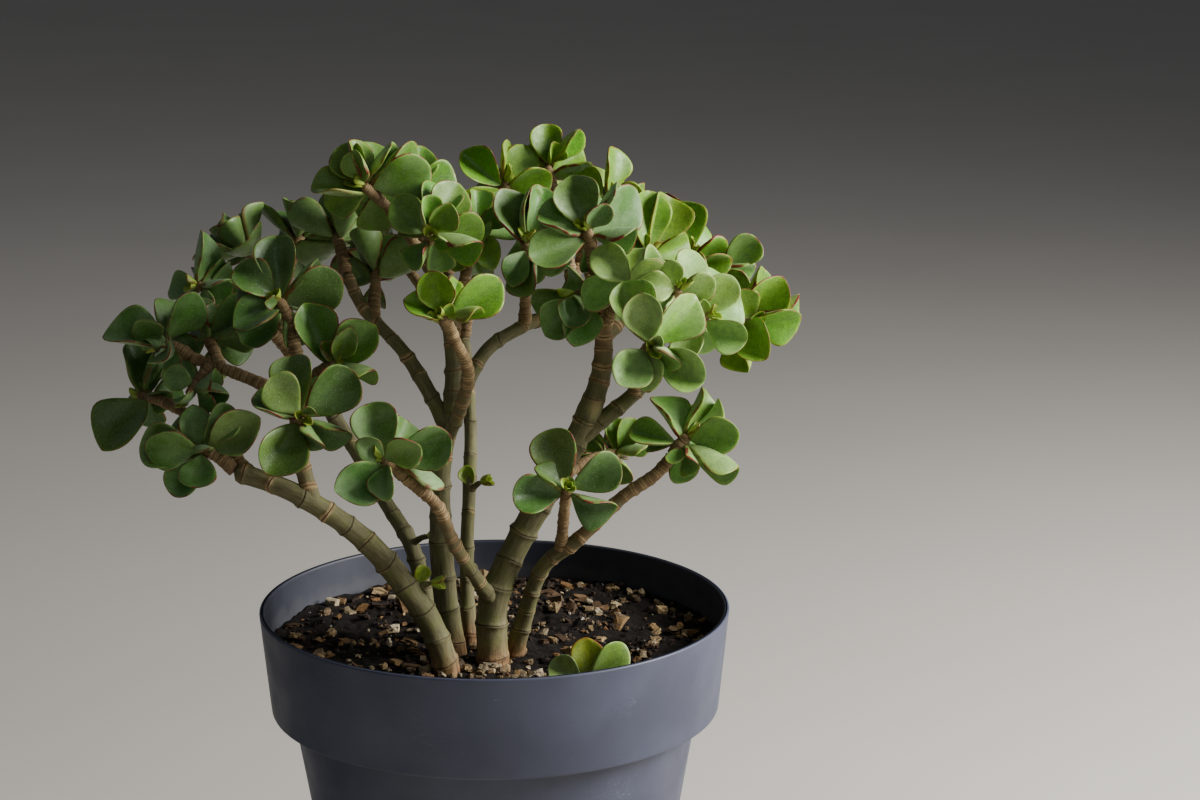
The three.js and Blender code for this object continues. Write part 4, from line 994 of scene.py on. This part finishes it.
def leafSurface(leaf, tone, habit=1):
    # A closed grid round the blade. Rows gather at base and tip as a half cosine does. Across, a
    # flattened superellipse keeps the faces level and the margin round. A shallow crease follows
    # the middle of the upper face, and the margin waves slightly.
    rows, sides = leafShape["rows"], leafShape["sides"]
    k = leaf["seed"]
    u = ((1 - np.cos(np.pi * np.arange(rows) / (rows - 1))) / 2)[:, None]
    u = np.clip(u, 0.004, 0.9985)
    leaf = giveHabit(leaf, habit)
    a = np.arange(sides) * 2 * np.pi / sides
    q = (np.sign(np.cos(a)) * np.abs(np.cos(a)) ** 0.86)[None]
    h = (np.sign(np.sin(a)) * np.abs(np.sin(a)) ** 0.74)[None]
    u, q, h = u + 0 * q, q + 0 * u, h + 0 * u
    outline = outlineAt(u, leaf["fall"])
    width = leaf["length"] * leafShape["widthShare"] * leaf["widthShare"] / 2
    small = min(leaf["length"] / 18, 1)
    body = leafShape["thickness"] * 0.52 * small * np.sin(np.pi * u) ** 0.5 * (1.25 - 0.45 * u)
    lift = body * h - 0.35 * small * np.exp(-((q * 4) ** 2)) * np.sin(np.pi * u) * np.maximum(h, 0)
    wave = np.sin(2 * np.pi * (1.3 * u + 0.3 * wobble(k + 7)) + 4 * np.sign(q)) * q**4
    lift = lift + 0.8 * small * wave * outline
    lift = lift + 0.05 * width * np.sin(3 * u + q * 2 + 6 * wobble(k + 8)) * outline
    points = onLeaf(leaf, u, q, lift)
    margin = np.minimum((1 - np.abs(q)) * width * outline, (1 - u) * leaf["length"])
    under = np.clip(0.5 - h, 0, 1)
    look = tones[tone]
    shade = 1 + np.array([0.16, 0.12, 0.3, 0]) * [wobble(k + 9), wobble(k + 19), wobble(k + 21), 0]
    upper, lower = np.array(linear(look["upper"])), np.array(linear(look["under"]))
    yellow = np.array(linear("#b4b63c"))
    age = 0.12 * max(wobble(k + 10), 0)
    upper = (upper * (1 - age) + yellow * age) * shade
    colour = upper + (lower - upper) * under[..., None] * 0.8
    pale = np.exp(-u / 0.16)[..., None] * 0.45
    colour = colour * (1 - pale) + np.array(linear("#a9c07c")) * pale
    colour[..., 3] = 1
    band = np.broadcast_to(np.array(linear(look["band"])), colour.shape)
    count = rows * sides
    values = {
        "leafColour": colour.reshape(count, 4),
        "bandColour": band.reshape(count, 4),
        "margin": margin.ravel(),
        "bloom": np.full(count, look["bloom"] * (1 + 0.5 * wobble(k + 11))),
        "redness": np.full(count, look["red"] * (1 + 0.5 * wobble(k + 12))),
    }
    return closeTube(points, values)


# ---- materials of the plant ----
def succulentBark():
    # Living bark of a jade stem: smooth grey-olive skin with long soft streaks, papery tan cork
    # on older rings, a dark thin line where each leaf pair fell and rusty flakes at the foot.
    surface = {"Roughness": 0.72, "IOR": 1.45, "Specular IOR Level": 0.35}
    patterns = {"patch": (9, 3, 0.55), "fine": (0.7, 4, 0.65)}
    own = {"scar": "Fac", "collar": "Fac", "brown": "Fac", "root": "Fac"}
    material, tree, shader, place, guide = startMaterial(
        "succulentBark", surface, patterns, own, "barkPlace"
    )
    patch, fine, collar = guide["patch"], guide["fine"], guide["collar"]
    drawnOut = addNode(tree, "Mapping", {"Vector": place, "Scale": (1.0, 1.0, 0.16)})
    inputs = {"Vector": drawnOut, "Scale": 1 / 1.3, "Detail": 4, "Roughness": 0.6}
    streak = addNode(tree, "TexNoise", inputs)
    living = [
        (streak, 0.3, 0.75, 0, 1, "#76714f"),
        (patch, 0.42, 0.7, 0, 0.6, "#656b34"),
        (fine, 0.56, 0.75, 0, 0.4, "#8b8460"),
    ]
    papery = [
        (patch, 0.35, 0.65, 0, 1, "#a78f64"),
        (fine, 0.5, 0.72, 0, 0.6, "#5a3f28"),
        (collar, 0.2, 0.9, 0.6, 0, "#4f3925"),
    ]
    skin = addCoats(tree, linear("#595438"), living)
    cork = addCoats(tree, linear("#7c6542"), papery)
    rust = addCoats(tree, linear("#5b3a22"), [(streak, 0.4, 0.62, 0, 1, "#8d6844")])
    # cork starts raggedly where the wood is brown or a ring stands out, rust at the foot
    ringed = addNode(tree, "Math", {0: collar, 1: 0.3}, operation="MULTIPLY")
    edge = addNode(tree, "Math", {0: guide["brown"], 1: ringed}, operation="ADD")
    corky = ragged(tree, edge, patch, 1.3)
    foot = ragged(tree, guide["root"], fine, 0.7)
    bark = addCoats(tree, skin, [(corky, 0.5, 0.8, 0, 1, cork), (foot, 0.25, 0.95, 0, 0.85, rust)])
    shown = addNode(tree, "MapRange", {0: patch, 1: 0.35, 2: 0.6, 3: 0.45, 4: 1.0}, **eased)
    line = addNode(tree, "Math", {0: guide["scar"], 1: shown}, operation="MULTIPLY")
    bark = addNode(tree, "Mix", {0: line, 6: bark, 7: linear("#39261a")}, **blended)
    soft = addNode(tree, "Math", {0: streak, 1: 0.5}, operation="MULTIPLY")
    height = addNode(tree, "Math", {0: soft, 1: fine}, operation="ADD")
    finishMaterial(tree, shader, bark, height, 0.6, 0.35)
    return material


def fleshyLeaf():
    # A jade leaf: thick water-filled blade with a waxy skin, so a soft broad gloss, a little light
    # through its thin margin, a powdery blue-white bloom, pale pores and a fine red-brown edge.
    surface = {
        "Roughness": 0.4,
        "IOR": 1.43,
        "Specular IOR Level": 0.5,
        "Subsurface Weight": 0.16,
        "Subsurface Radius": (0.5, 1.0, 0.25),
        "Subsurface Scale": 0.0016,
        "Sheen Weight": 0.06,
        "Sheen Roughness": 0.5,
    }
    patterns = {
        "mottle": (3.2, 3, 0.55),
        "cloud": (11, 2, 0.55),
        "grain": (0.7, 4, 0.7),
        "broken": (6, 2, 0.55),
        "speck": (2.1, 1, 0.55),
        "dimple": (1.6, 3, 0.55),
    }
    own = {"leafColour": "Color", "bandColour": "Color", "margin": "Fac", "bloom": "Fac", "redness": "Fac"}
    material, tree, shader, place, guide = startMaterial("fleshyLeaf", surface, patterns, own)
    mottle, grain, margin = guide["mottle"], guide["grain"], guide["margin"]
    dusty = [
        (mottle, 0.35, 0.7, 0, 0.32, "#1f3f0a"),
        (grain, 0.35, 0.52, 0.4, 0, "#27480c"),
        (grain, 0.52, 0.7, 0, 0.22, "#a9c07a"),
    ]
    skin = addCoats(tree, guide["leafColour"], dusty)
    # bloom is rubbed off in patches
    left = addNode(tree, "MapRange", {0: guide["cloud"], 1: 0.36, 2: 0.62, 3: 0.25, 4: 1.0}, **eased)
    bloom = addNode(tree, "Math", {0: guide["bloom"], 1: left}, operation="MULTIPLY")
    powder = addNode(tree, "Math", {0: bloom, 1: 0.5}, operation="MULTIPLY")
    skin = addNode(tree, "Mix", {0: powder, 6: skin, 7: linear("#a2b98c")}, **blended)
    # pores: pale dots about 0.4 mm across and 1.3 mm apart
    cells = addNode(tree, "TexVoronoi", {"Vector": place, "Scale": 1 / (1.3 * metre)})
    spots = addNode(tree, "MapRange", {0: cells, 1: 0.1, 2: 0.22, 3: 1.0, 4: 0.0}, **eased)
    strength = addNode(tree, "MapRange", {0: mottle, 1: 0.4, 2: 0.6, 3: 0.1, 4: 0.5}, **eased)
    pores = addNode(tree, "Math", {0: spots, 1: strength}, operation="MULTIPLY")
    skin = addNode(tree, "Mix", {0: pores, 6: skin, 7: linear("#b0c684")}, **blended)
    # the thin margin lets light through, inside a red-brown line that comes and goes
    torn = ragged(tree, margin, mottle, 1.2)
    skin = addCoats(tree, skin, [(torn, 0.3, 1.7, 0.5, 0, guide["bandColour"])])
    edge = addNode(tree, "MapRange", {0: margin, 1: 0.35, 2: 0.85, 3: 1.0, 4: 0.0}, **eased)
    comes = addNode(tree, "MapRange", {0: guide["broken"], 1: 0.4, 2: 0.56, 3: 0.1, 4: 1.0}, **eased)
    line = addNode(tree, "Math", {0: edge, 1: comes}, operation="MULTIPLY")
    line = addNode(tree, "Math", {0: line, 1: guide["redness"]}, operation="MULTIPLY")
    skin = addNode(tree, "Mix", {0: line, 6: skin, 7: linear("#6a2413")}, **blended)
    # a few corky specks
    skin = addCoats(tree, skin, [(guide["speck"], 0.76, 0.8, 0, 0.6, "#6e5a38")])
    gloss = addNode(tree, "MapRange", {0: mottle, 1: 0.3, 2: 0.7, 3: 0.38, 4: 0.52}, **eased)
    dull = addNode(tree, "Math", {0: bloom, 1: 0.3}, operation="MULTIPLY")
    rough = addNode(tree, "Math", {0: gloss, 1: dull}, operation="ADD")
    tree.links.new(rough, shader.inputs["Roughness"])
    raised = addNode(tree, "Math", {0: pores, 1: 0.4}, operation="MULTIPLY")
    height = addNode(tree, "Math", {0: raised, 1: guide["dimple"]}, operation="ADD")
    gritty = addNode(tree, "Math", {0: grain, 1: 0.35}, operation="MULTIPLY")
    height = addNode(tree, "Math", {0: height, 1: gritty}, operation="ADD")
    finishMaterial(tree, shader, skin, height, 0.35, 0.16)
    return material


# ---- growing the plant ----
rimTones = ["rimPale", "rimGold", "rimGreen"]
lines = {}  # each stem's and branch's middle line
bark = succulentBark()
leafSkin = fleshyLeaf()


print("materials are ready")


def leafCount(shoot):
    return len(shoot["leaves"]) if "leaves" in shoot else shoot["pairs"] * 2


def cornersOf(node):
    # a CAD piece's points in mm
    mesh = frame["nodes"][node].data
    flat = np.empty(len(mesh.vertices) * 3, "f")
    mesh.vertices.foreach_get("co", flat)
    return flat.reshape(-1, 3).astype(float) / metre


drawnLeaves = {}  # by owner and seed, each leaf's lowest and highest corner and its search tree


def noteLeaf(owner, seed, surface):
    # writes the leaf down and tells whether it is clear of every leaf of another owner
    points, faces = surface[:2]
    low, high = points.min(0), points.max(0)
    tree = BVHTree.FromPolygons(points.tolist(), faces.tolist())
    drawnLeaves[owner, seed] = (low, high, tree)
    return not any(
        other[0] != owner and (low < most).all() and (least < high).all() and tree.overlap(there)
        for other, (least, most, there) in drawnLeaves.items()
    )


def findLeaves(shoot, owner, tone):
    # the leaves that the CAD piece has, each written down in its plain shape
    found = []
    corners = cornersOf(owner)
    for i in range(leafCount(shoot)):
        score, leaf = grownLeaf(shoot, i, corners)
        if score > fit["absent"]:
            print("no CAD leaf found for", owner, i, round(float(score), 2))
            continue
        family = rimTones[i] if tone == "rim" else tone
        noteLeaf(owner, leaf["seed"], leafSurface(leaf, family, 0))
        found.append((leaf, family))
    return found


# the shares of habit and of length that a leaf tries, in order
habits = ((1, 1), (0.75, 1), (0.5, 1), (0.25, 1), (0, 1), (0, 0.94), (0, 0.88))


def growLeaves(shoot, owner):
    # each leaf takes as much of its habit as leaves the other shoots' leaves clear, and a leaf
    # without room even when plain stays a little smaller
    parts = []
    for leaf, family in shoot["found"]:
        for habit, size in habits:
            surface = leafSurface({**leaf, "length": leaf["length"] * size}, family, habit)
            if noteLeaf(owner, leaf["seed"], surface):
                break
        parts.append((*surface, 1))
    return parts


def addClear(parts, leaf, owner, tone):
    # a leaf that cuts another shoot's leaf is left out
    surface = leafSurface(leaf, tone)
    if noteLeaf(owner, leaf["seed"], surface):
        parts.append((*surface, 1))
    else:
        del drawnLeaves[owner, leaf["seed"]]


def growBacks(shoot, owner, tone):
    # leaves lower on the twig that reach away behind the rosette
    start, handle, end = shoot["handles"]
    behind = {**shoot, "seed": shoot["seed"] + 30}
    behind["leaves"] = [[a + 20 * wobble(behind["seed"] + a), -52, 66, 0] for a in (40, 160, 280)]
    parts = []
    for i in range(3):
        leaf = leafOf(
            behind, i, 10 * wobble(behind["seed"] + i), 1 + 0.12 * wobble(behind["seed"] + i + 9)
        )
        leaf["base"] = leaf["base"] + (handle - end) / np.linalg.norm(handle - end) * (1 + 2.5 * i)
        addClear(parts, leaf, owner, tone)
    return parts


def growBuds(shoot, owner, tone):
    # two pairs of young leaves stand round the twig's end, the inner pair a quarter turn on
    start, handle, end = shoot["handles"]
    axis = (end - handle) / np.linalg.norm(end - handle)
    across = np.cross(axis, [0.3, 1.0, 0.2])
    across = across / np.linalg.norm(across)
    parts = []
    for i in range(4):
        k = shoot["seed"] + 50 + i
        splay = np.radians(34 - 14 * (i // 2) + 8 * wobble(k))
        out = turned(across, axis, np.pi / 2 * (i // 2) + np.pi * (i % 2) + 0.3 * wobble(shoot["seed"]))
        along = axis * np.cos(splay) + out * np.sin(splay)
        normal = axis * np.sin(splay) - out * np.cos(splay)
        leaf = {
            "base": end + out * 0.7 - axis * 0.6,
            "along": along,
            "normal": normal,
            "side": np.cross(normal, along),
            "length": (7.6 - 2.6 * (i // 2)) * (1 + 0.2 * wobble(k + 5)),
            "widthShare": 0.78,
            "cup": 0.42,
            "curl": 0.1,
            "twist": 0.0,
            "seed": k,
        }
        addClear(parts, leaf, owner, tone)
    return parts


def growWood(name, plan, seed, rooted):
    line = lines[name]
    foot = rootDepth if rooted else {**stems, **branches}[plan["parent"]]["radii"][0] * 0.8
    tube = woodSurface(
        line, plan["radii"], plan["rings"], plan["brown"], seed, wood["sides"], foot, float(rooted)
    )
    parts = [(*tube, 0)]
    for sprout in sprouts:
        if sprout["parent"] == name:
            parts += growLeaves(sprout, name)
            twig = twigCurve(*[sprout["handles"][i] for i in (0, 2)])
            stalk = woodSurface(twig, (1.6, 1.1), (3, 2), (0.1, 0.0), seed + 5, 10, 0, 0.0)
            parts.append((*stalk, 0))
            parts += growBuds(sprout, name, "bud")
    points, faces, values, kinds = joinParts(parts)
    piece = addPiece(name + "_bark", points, trimFaces(faces), [bark, leafSkin], values, kinds)
    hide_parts(name)


def growShoot(name, shoot, seed):
    parent = shoot.get("parent")
    tipRadius = wood["twigRadius"]
    rootRadius = min(tipRadius, {**stems, **branches}[parent]["radii"][1]) if parent else tipRadius
    start, handle, end = shoot["handles"]
    line = twigCurve(start, end)
    foot = shootRootDepth if parent is None else rootRadius
    twig = woodSurface(
        line,
        (rootRadius * 0.95, tipRadius * 0.8),
        ringGap["twig"],
        (0.75, 0.95),
        seed,
        wood["twigSides"],
        foot,
        0.0,
    )
    parts = [(*twig, 0)] + growLeaves(shoot, name)
    if parent:
        parts += growBuds(shoot, name, shoot.get("buds", "bud"))
        if shoot["at"][1] > -55:
            parts += growBacks(shoot, name, shoot["tone"])
    points, faces, values, kinds = joinParts(parts)
    piece = addPiece(name + "_grown", points, trimFaces(faces), [bark, leafSkin], values, kinds)
    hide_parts(name)


def setHandles(shoot, seed):
    end = plantPoint(shoot["at"])
    if "parent" in shoot:
        parent = lines[shoot["parent"]]
        start = alongLine(parent, runOf(parent)[-1] * shoot["from"])[0]
    else:
        start = np.array([end[0], end[1], soilLevel - shootRootDepth])
    handle = (start + end) / 2 + np.array([0, 0, 0.2]) * np.linalg.norm(end - start)
    shoot["handles"] = (start, handle, end)
    shoot["seed"] = seed


for name, plan in stems.items():
    points = [plantPoint(p) for p in plan["points"]]
    root = [points[0][0], points[0][1], soilLevel - rootDepth]
    lines[name] = smoothCurve([root, *points])
for name, plan in branches.items():
    parent = lines[plan["parent"]]
    start = alongLine(parent, runOf(parent)[-1] * plan["from"])[0]
    lines[name] = smoothCurve([start, *[plantPoint(p) for p in plan["points"]]])
for number, shoot in enumerate([*shoots.values(), *sprouts]):
    setHandles(shoot, 60 * number)
for name, shoot in shoots.items():
    shoot["found"] = findLeaves(shoot, name, shoot["tone"])
for sprout in sprouts:
    sprout["found"] = findLeaves(sprout, sprout["parent"], "bud")

for number, (name, plan) in enumerate({**stems, **branches}.items()):
    growWood(name, plan, number + 1, name in stems)
print("stems and branches are grown")
for number, (name, shoot) in enumerate(shoots.items()):
    growShoot(name, shoot, number + 20)
print("leafy shoots are grown")


# ---- the soil and what lies on it ----
soil = {
    "unevenness": 1.6,
    "wave": 0.1,
    "rings": 110,
    "sides": 260,
    "lumps": {"clods": (7.0, 2.4), "crumbs": (2.8, 1.5), "grains": (1.2, 0.6)},  # size and height
}
soilEdge = collarInside(soilLevel) - 0.6

# size in mm from smallest to largest, height over width, and how angular each kind is
bits = {
    "soil_crumbs": {
        "count": 1500, "size": (0.8, 3.4), "flat": 0.8, "angular": 0.2, "sink": 0.3, "nearStems": 0.1,
        "colours": ["#1c130d", "#2a1d14", "#38281b", "#120d09"],
    },
    "bark_bits": {
        "count": 760, "size": (2.0, 8.0), "flat": 0.36, "angular": 0.2, "sink": 0.1, "nearStems": 0.2,
        "colours": ["#725736", "#8e7047", "#ad9267", "#523b23", "#7f5c32", "#362719", "#b8a37e"],
    },
    "pale_gravel": {
        "count": 800, "size": (1.6, 6.0), "flat": 0.72, "angular": 0.15, "sink": 0.15, "nearStems": 0.55,
        "colours": ["#a99673", "#917954", "#baaa8b", "#78654a", "#9d845b", "#5f4e37"],
    },
    "perlite_bits": {
        "count": 130, "size": (0.8, 2.0), "flat": 0.8, "angular": 0.2, "sink": 0.1, "nearStems": 0.1,
        "colours": ["#c4beaf", "#b0a996"],
    },
}


def valueNoise(x, y, size, seed):
    # random heights on a square net, eased between its corners, from -0.5 to 0.5
    net = np.random.default_rng(seed).random((128, 128))
    i, j = np.floor(x / size).astype(int), np.floor(y / size).astype(int)
    fx, fy = x / size - i, y / size - j
    fx, fy = fx * fx * (3 - 2 * fx), fy * fy * (3 - 2 * fy)
    i, j = i % 127, j % 127
    low = net[i, j] * (1 - fx) + net[i + 1, j] * fx
    high = net[i, j + 1] * (1 - fx) + net[i + 1, j + 1] * fx
    return low * (1 - fy) + high * fy - 0.5


def soilHeight(x, y):
    # the soil's broad waves, which fade out towards the wall, and three sizes of lumps
    inside = np.clip((soilEdge * 0.9 - np.hypot(x, y)) / 8, 0, 1)
    broad = soil["unevenness"] * np.sin(x * soil["wave"]) * np.cos(y * soil["wave"] + 1) * inside
    height = soilLevel + broad - 0.6
    for number, (size, tall) in enumerate(soil["lumps"].values()):
        height = height + tall * valueNoise(x, y, size, number + 1)
    return height


def pottingSoil():
    # Peat and composted bark: near black while moist, brown where a crumb has dried, no gloss.
    surface = {"Roughness": 0.95, "Specular IOR Level": 0.2}
    patterns = {"fine": (1.1, 5, 0.7), "patch": (14, 2, 0.55), "speck": (0.8, 2, 0.55)}
    material, tree, shader, place, guide = startMaterial("pottingSoil", surface, patterns)
    crumbs = [
        (guide["fine"], 0.4, 0.7, 0, 1, "#20170f"),
        (guide["patch"], 0.45, 0.7, 0, 0.5, "#170f0a"),
        (guide["speck"], 0.7, 0.76, 0, 0.7, "#7d6244"),
    ]
    finishMaterial(tree, shader, addCoats(tree, linear("#080605"), crumbs), guide["fine"], 0.9, 0.8)
    return material


def looseBits():
    # Bark, grit and perlite: dry and dull, each bit with its own colour and a rough broken face.
    surface = {"Roughness": 0.85, "Specular IOR Level": 0.3}
    patterns = {"fine": (0.7, 4, 0.65)}
    own = {"bitColour": "Color"}
    material, tree, shader, place, guide = startMaterial("looseBits", surface, patterns, own)
    worn = addCoats(tree, guide["bitColour"], [(guide["fine"], 0.3, 0.7, 0.75, 0, "#2b1d12")])
    finishMaterial(tree, shader, worn, guide["fine"], 0.8, 0.3)
    return material


def makeSoil():
    # rings from the middle out to the wall at the soil's height, then down the inside of the pot
    angle = np.arange(soil["sides"]) * 2 * np.pi / soil["sides"]
    r = soilEdge * (np.arange(1, soil["rings"] + 1) / soil["rings"])[:, None]
    x, y = r * np.cos(angle), r * np.sin(angle)
    top = np.stack([x, y, soilHeight(x, y)], -1)
    gap = 0.3
    bottom = pot["floor"] + gap
    bevel = pot["innerCorner"] + gap  # keeps the soil's corners clear of the pot's rounded ones
    wall = np.array(
        [
            (collarInside(ledge + bevel) - gap, ledge + bevel),
            (collarInside(ledge) - bevel, ledge + gap),
            (bodyInside(collarBottom) - gap, ledge + gap),
            (bodyInside(bottom + bevel) - gap, bottom + bevel),
            (bodyInside(bottom) - bevel, bottom),
        ]
    )
    down = np.stack(
        [wall[:, :1] * np.cos(angle), wall[:, :1] * np.sin(angle), wall[:, 1:] + 0 * angle], -1
    )
    points, faces, values = closeTube(np.concatenate([top, down]), {})
    faces = faces[:, ::-1]
    cells = [[f[0], f[2], f[3]] if f[0] == f[1] else f for f in faces.tolist()]
    piece = addPiece("soil_bed", points, cells, [pottingSoil()])
    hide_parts("soil")


def bitShape():
    # the 26 outer points of a 3 by 3 by 3 block, pulled halfway to a ball, and its 24 cells
    n = np.array([(a, b, c) for a in (-1, 0, 1) for b in (-1, 0, 1) for c in (-1, 0, 1)], float)
    number = {tuple(p): k for k, p in enumerate(n[np.abs(n).max(1) > 0].astype(int).tolist())}
    points = n[np.abs(n).max(1) > 0]
    points = points * (0.45 + 0.55 / np.linalg.norm(points, axis=1, keepdims=True))
    cells = []
    for axis in range(3):
        for end in (-1, 1):
            for u in (-1, 0):
                for v in (-1, 0):
                    ring = [(u, v), (u + 1, v), (u + 1, v + 1), (u, v + 1)]
                    if end < 0:
                        ring = ring[::-1]
                    corners = []
                    for p in ring:
                        corner = [0, 0, 0]
                        corner[axis] = end
                        corner[(axis + 1) % 3], corner[(axis + 2) % 3] = p
                        corners.append(number[tuple(corner)])
                    cells.append(corners)
    return points, np.array(cells)


strewing = {
    "edge": 4,  # from the pot's wall, in mm
    "wall": 3,
    "heap": (4, -74),  # where the grit gathers and how widely
    "heapSpread": (30, 13),
    "patch": 17,
    "smallPatch": 6,
    "bare": -0.06,  # below this much patch nothing lies
    "tip": 0.35,
}


def scatterBits(name, kind, material, seed):
    # each bit is the same block, stretched, broken at its points, turned any way round the
    # upright and tipped a little, then laid on the soil
    random = np.random.default_rng(seed)
    shape, cells = bitShape()
    count = kind["count"]
    gathered = random.random(count) < kind["nearStems"]
    r = (soilEdge - strewing["edge"]) * np.sqrt(random.random(count))
    a = random.random(count) * 2 * np.pi
    x, y = r * np.cos(a), r * np.sin(a)
    heap = random.normal(0, 1, (count, 2)) * strewing["heapSpread"] + strewing["heap"]
    x, y = np.where(gathered, heap[:, 0], x), np.where(gathered, heap[:, 1], y)
    patch = valueNoise(x, y, strewing["patch"], 40 + seed)
    patch = patch + 0.35 * valueNoise(x, y, strewing["smallPatch"], 50 + seed)
    kept = np.hypot(x, y) < soilEdge - strewing["wall"]
    kept = kept & ((patch > strewing["bare"]) | gathered)
    x, y, count = x[kept], y[kept], int(kept.sum())
    low, high = kind["size"]
    size = low + (high - low) * random.random(count) ** 2.2
    stretch = np.stack(
        [0.75 + 0.6 * random.random(count), np.full(count, 0.75), np.full(count, kind["flat"])], 1
    )
    local = shape[None] * (1 + kind["angular"] * random.normal(0, 1, (count, len(shape), 1)))
    local = local * (stretch * size[:, None] / 2)[:, None]
    turn, tip = random.random(count) * 2 * np.pi, random.normal(0, strewing["tip"], count)
    c, s = np.cos(tip)[:, None], np.sin(tip)[:, None]
    lx, ly, lz = local[..., 0] * c + local[..., 2] * s, local[..., 1], local[..., 2] * c - local[..., 0] * s
    c, s = np.cos(turn)[:, None], np.sin(turn)[:, None]
    rise = soilHeight(x, y) + size * kind["flat"] * (0.5 - kind["sink"])
    points = np.stack(
        [lx * c - ly * s + x[:, None], lx * s + ly * c + y[:, None], lz + rise[:, None]], -1
    )
    faces = cells[None] + (np.arange(count) * len(shape))[:, None, None]
    palette = np.array([linear(c) for c in kind["colours"]])
    colours = palette[random.integers(0, len(palette), count)] * (
        0.45 + 0.65 * random.random((count, 1))
    )
    colours[:, 3] = 1
    values = {"bitColour": np.repeat(colours, len(shape), 0)}
    addPiece(name, points.reshape(-1, 3), faces.reshape(-1, 4), [material], values, None, False)


makeSoil()
loose = looseBits()
for number, (name, kind) in enumerate(bits.items()):
    scatterBits(name, kind, loose, number + 1)
print("soil and grit are laid")
